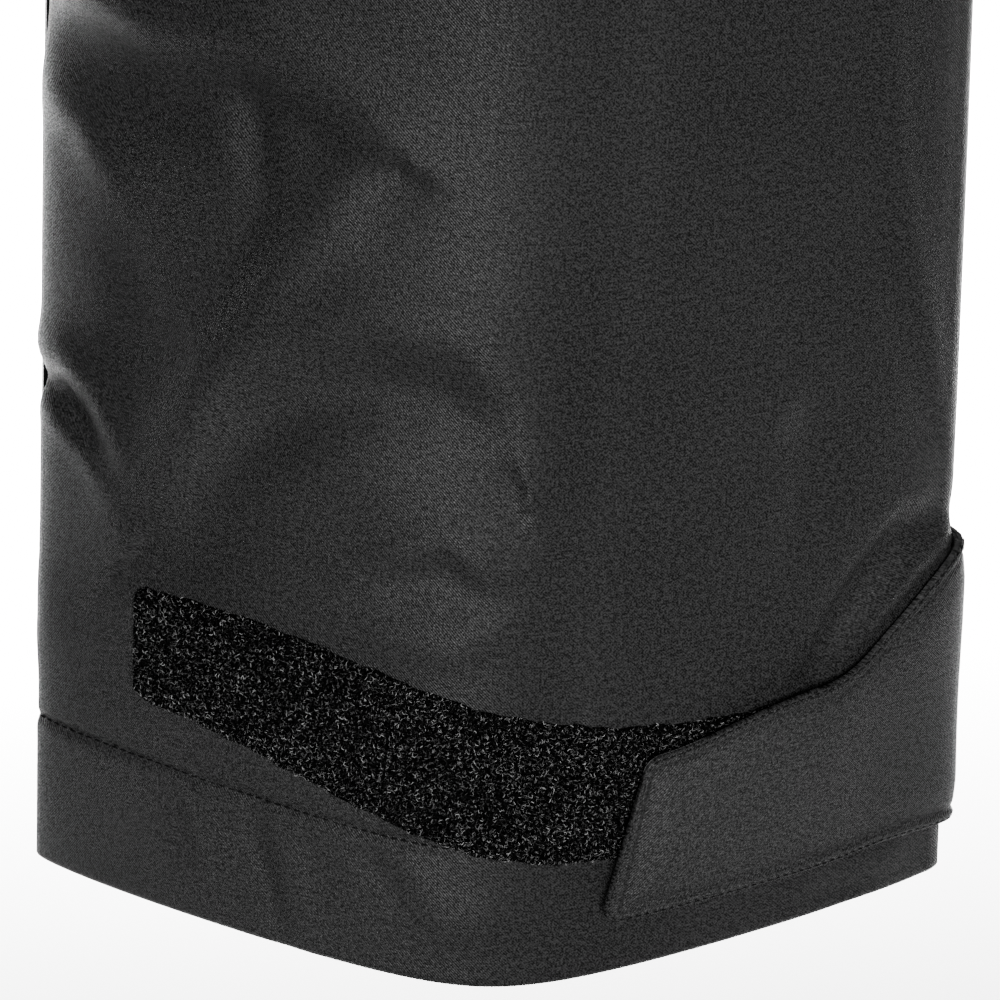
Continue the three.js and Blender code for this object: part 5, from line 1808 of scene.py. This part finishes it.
@dataclass
class HandPocket:
    """One hand pocket: tapes, teeth, welts and bag."""

    shop: Workshop
    side: Side
    length: float = 132
    inset: float = 4.4

    def frame(self) -> tuple[Array, Array, Array, Array]:
        """The zip's middle and its three directions: across, inwards and up."""
        form = self.shop.form
        spot = lambda angle, up: form.section(-1, np.array(angle), np.array(float(up)), 0)
        top, foot = spot(0.86, form.band_foot - 16), spot(0.68, form.band_foot - 16 - self.length)
        up = (top - foot) / np.linalg.norm(top - foot)
        middle = (top + foot) / 2
        level = middle[2] + form.top
        across = spot(0.9, level) - spot(0.64, level)
        across /= np.linalg.norm(across)
        inwards = np.cross(across, up)
        inwards /= np.linalg.norm(inwards)
        return middle + inwards * self.inset, np.cross(inwards, up), inwards, up

    def build(self) -> None:
        """Makes the pocket."""
        middle, across, inwards, up = self.frame()
        sign = self.side.value

        def place(a: Array, u: Array, o: Array) -> Array:
            """Points in the zip's own frame."""
            points = middle + a[..., None] * across + u[..., None] * up - np.asarray(o)[..., None] * inwards
            points = points.copy()
            points[..., 0] *= sign
            return points

        lines = []
        grids = []
        for half in (1, -1):
            stops = np.sort(half * (0.8 + graded(12, 2, 2)))
            strip = Strip(
                place, stops, graded(self.length + 12, 4, 2) - self.length / 2 - 6, -0.5, 1.0, 0.3, sign < 0
            )
            grids.append(strip.make(f"{self.side.word}PocketTape{'A' if half > 0 else 'B'}"))
            ups = np.linspace(-self.length / 2, self.length / 2, 100)
            lines.append(place(np.full_like(ups, half * 1.45), ups, np.full_like(ups, 0.75)))
        for index, tape in enumerate(grids):
            nodes = (f"{self.side.word}PocketZip",) if index == 0 else ()
            self.shop.add(tape, "pants", "zip_tape", "zip", *nodes)
        teeth = self.shop.teeth.run(
            f"{self.side.word}PocketTeeth", path_object("teeth_path", lines), {"Pitch": 0.0024}
        )
        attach(teeth, "pants")
        self.welts()
        self.bag()

    def welts(self) -> None:
        """The two folded lips beside the mouth and the bars across its ends."""
        line = PocketLine.of(self.shop.form)
        skin = self.shop.skins[self.side]

        def place(a: Array, u: Array, o: Array) -> Array:
            """Points over the mouth's line on the skin."""
            around, up = line.on_skin(a, u)
            return skin.at(around, up, o)

        flip = self.side is Side.LEFT
        reach = line.length / 2 + 6
        stops = graded(2 * reach, 3, 3) - reach
        for word, start, end in (("Inner", 6.4, 14.5), ("Outer", -14.5, -5.6)):
            strip = Strip(place, start + graded(end - start, 1.5, 2), stops, 0.1, 1.2, 1.2, flip)
            piece = strip.make(f"{self.side.word}{word}Welt")
            self.shop.add(piece, "pants", "shell_cloth", "shell")
        for word, centre in (("Top", reach - 4), ("Foot", 4 - reach)):
            strip = Strip(
                place, graded(29, 2, 2) - 14.5, centre + graded(9, 1.5, 2) - 4.5, 0.9, 1.3, 0.8, flip
            )
            piece = strip.make(f"{self.side.word}{word}Bar")
            self.shop.add(piece, "pants", "shell_cloth", "shell")
        rows = []
        for a in (-13.0, 13.0, -7.2, 7.9):
            ups = np.linspace(-reach + 1, reach - 1, 140)
            rows.append(place(np.full_like(ups, a), ups, np.full_like(ups, 1.32)))
        self.shop.sew(f"{self.side.word}WeltStitches", rows, "pants")

    def bag(self) -> None:
        """The pocket bag inside."""
        form = self.shop.form

        def place(a: Array, u: Array, o: Array) -> Array:
            """Points behind the front panel."""
            points = form.section(-1, a, u, o)
            points[..., 0] *= self.side.value
            return points

        low = form.band_foot - 4 - self.length - 44
        t, a = np.meshgrid(
            np.linspace(low, form.band_foot - 4, 30), np.linspace(0.5, 1.02, 26), indexing="ij"
        )
        outer = place(a, t, np.full_like(a, -9.8))
        inner = place(a, t, np.full_like(a, -11.4))
        flip = self.side is Side.LEFT
        piece = closed(f"{self.side.word}PocketCloth", outer, inner, np.stack([a * 180, t], -1), flip)
        self.shop.add(piece, "pants", "lining_cloth", "lining", f"{self.side.word}PocketBag")


@dataclass
class ThighPocket:
    """The flapped pocket on the right thigh."""

    shop: Workshop
    foot: float = 550
    height: float = 170
    width: float = 150
    middle: float = 52
    depth: float = 7
    flap_height: float = 62

    def place(self, around: Array, up: Array, offset: Array) -> Array:
        """Points on the right leg."""
        return self.shop.skins[Side.RIGHT].at(around, up, offset, 0.0)

    def crown(self, across: Array, up: Array) -> Array:
        """The pocket's fullness over shares of its width and height."""
        wide = np.clip(4 * np.minimum(across, 1 - across), 0, 1)
        tall = np.clip(4 * np.minimum(up, 1 - up), 0, 1)
        return self.depth * wide * tall

    def build(self) -> None:
        """Makes pocket, flap and patches."""
        low, base = self.foot, self.middle - self.width / 2
        a, t = graded(self.width, 3, 4), graded(self.height, 3, 4)
        up, around = np.meshgrid(t, a, indexing="ij")
        edge = np.minimum.reduce([around, self.width - around, up, self.height - up])
        share, rise = around / self.width, up / self.height
        soft = self.crown(
            share, rise
        ) * 0.92 + 0.4 * np.sin(around / 17) * np.sin(up / 23) * smooth(edge, 4, 20)
        height = 1.2 + rolled_edge(edge, 1.5, 1.0) - 0.35 * np.exp(
            -(((edge - 3.2) / 0.8) ** 2)
        ) + soft * smooth(edge, 3, 12)
        outer = self.place(base + around, low + up, height)
        inner = self.place(base + around, low + up, np.full_like(up, 0.9))
        piece = closed("ThighPocketCloth", outer, inner, np.stack([around, up], -1), False)
        self.shop.add(piece, "pants", "shell_cloth", "shell", "ThighPocket")
        top = low + self.height + 10
        t = graded(self.flap_height, 2.5, 3)
        up, around = np.meshgrid(t, a, indexing="ij")
        level = top - self.flap_height + up
        cover = self.cover(around, level, top)
        edge = np.minimum.reduce([around, self.width - around, up, self.flap_height - up])
        lift = cover + 0.6 + 2.6 * smooth(level, top - 3, top - 13)
        face = rolled_edge(edge, 1.8, 1.0) - 0.3 * np.exp(-(((edge - 2.4) / 0.6) ** 2))
        outer = self.place(base + around, level, lift + face)
        inner = self.place(base + around, level, lift)
        flap = closed("ThighFlapCloth", outer, inner, np.stack([around, up], -1), False)
        self.shop.add(flap, "thigh_flap", "shell_cloth", "shell", "ThighPocketFlap")
        self.patches(base, top)
        self.stitching(base)

    def cover(self, around: Array, level: Array, top: float) -> Array:
        """Height of the pocket under the flap."""
        up = (level - self.foot) / self.height
        full = np.where(up < 1.03, self.crown(around / self.width, np.minimum(up, 1)) + 1.8, 0)
        return 1 + full * smooth(level, top + 1, top - 7)

    def patches(self, base: float, top: float) -> None:
        """Loop patch on the pocket and hook patch under the flap."""
        level = top - self.flap_height + 8
        rows = ("ThighLoopPatch", "pants", "loop_ground", "loop", "ThighPocketLoop", 0.3, 0.7)
        hooks = ("ThighHookPatch", "thigh_flap", "hook_plastic", "hook", "ThighPocketHook", 1.4, 0.7)
        for name, body, finish, slot, node, gap, thick in (rows, hooks):
            def over(a: Array, u: Array, o: Array) -> Array:
                """Points over the pocket's crown."""
                return self.place(base + a, u, o + self.cover(a, u, top))
            strip = Strip(over, 54 + graded(42, 2.5, 2), level + graded(16, 2, 2), gap, thick, 0.4)
            self.shop.add(strip.make(name), body, finish, slot, node)

    def stitching(self, base: float) -> None:
        """Rows down the pocket's two sides and across its foot."""
        low, high = self.foot, self.foot + self.height
        rows = []
        inset = 3.2
        ups = np.linspace(low + inset, high - 2, 150)
        side = np.full_like(ups, 2.35)
        rows.append(self.place(np.full_like(ups, base + inset), ups, side))
        rows.append(self.place(np.full_like(ups, base + self.width - inset), ups, side))
        across = np.linspace(base + inset, base + self.width - inset, 130)
        rows.append(self.place(across, np.full_like(across, low + inset), np.full_like(across, 2.35)))
        self.shop.sew("ThighPocketStitches", rows, "pants")


@dataclass
class Gaiter:
    """The snow gaiter inside one leg: sleeve and elastic."""

    shop: Workshop
    side: Side
    foot: float = 34
    head: float = 175

    def depth(self, up: Array) -> Array:
        """How far inside the shell it hangs."""
        return 26 - 15 * smooth(up, self.foot, self.head - 30)

    def build(self) -> None:
        """Makes the gathered sleeve and the ribbed elastic at its foot."""
        skin = self.shop.skins[self.side]
        flip = self.side is Side.LEFT
        shares = np.linspace(1, -1, 401)
        up, share = np.meshgrid(np.linspace(self.foot, self.head, 34), shares, indexing="ij")
        gather = 0.9 * np.sin(share * 150) * smooth(up, self.head - 10, self.foot + 20)
        points = skin.at_share(share, up, -self.depth(up) - 0.6 + gather * 0.5, 0.0)
        piece = cloth(f"{self.side.word}GaiterCloth", points, np.stack([share * 290, up], -1), flip)
        self.shop.add(piece, "pants", "lining_cloth", "lining", f"{self.side.word}GaiterSleeve")
        base = float(self.depth(np.array(self.foot))) + 2.2
        profile = ((0, 1), (0, 26), (-1.7, 26), (-1.7, 1))
        columns = 400
        turn = np.linspace(1, -1, columns, endpoint=False)
        grids = []
        for out, rise in profile:
            rib = 0.15 * np.sin(turn * 420) if out == 0 else 0
            grids.append(skin.at_share(turn, np.full(columns, self.foot + rise), -base + out + rib, 0.0))
        grid = np.array(grids)
        faces = []
        for row in range(4):
            start, above = row * columns, ((row + 1) % 4) * columns
            for column in range(columns):
                beside = (column + 1) % columns
                quad = (start + column, start + beside, above + beside, above + column)
                faces.append(quad[::-1] if flip else quad)
        uv = np.stack(np.meshgrid(turn * 290, [0, 26, 28, 54]), -1)
        band = new_object(f"{self.side.word}ElasticBand", grid.reshape(-1, 3), faces, uv.reshape(-1, 2))
        self.shop.add(band, "pants", "trim_webbing", "trim", f"{self.side.word}GaiterElastic")


def main() -> None:
    """Builds the looks in order."""
    logging.basicConfig(level=logging.INFO, format="%(message)s")
    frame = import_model()
    finishes = Finishes()
    shop = Workshop(LegForm(), finishes)
    Studio(finishes).build()
    ShellLegs(shop).build()
    for side in Side:
        Cuff(shop, side).build()
        Gaiter(shop, side).build()
        HandPocket(shop, side).build()
    waist = Waist(shop)
    waist.build()
    Fly(shop, waist).build()
    ThighPocket(shop).build()
    keep = {"metal": "gunmetal", "zip": "zip_tape", "trim": "trim_webbing", "lining": "lining_cloth"}
    slots = {s["node"]: s["material_slot"] for s in frame["record"]["subparts"]}
    for name, node in frame["nodes"].items():
        if not node.hide_render:
            finishes.dress(node, keep.get(slots[name], "shell_cloth"))


if __name__ == "__main__":
    main()
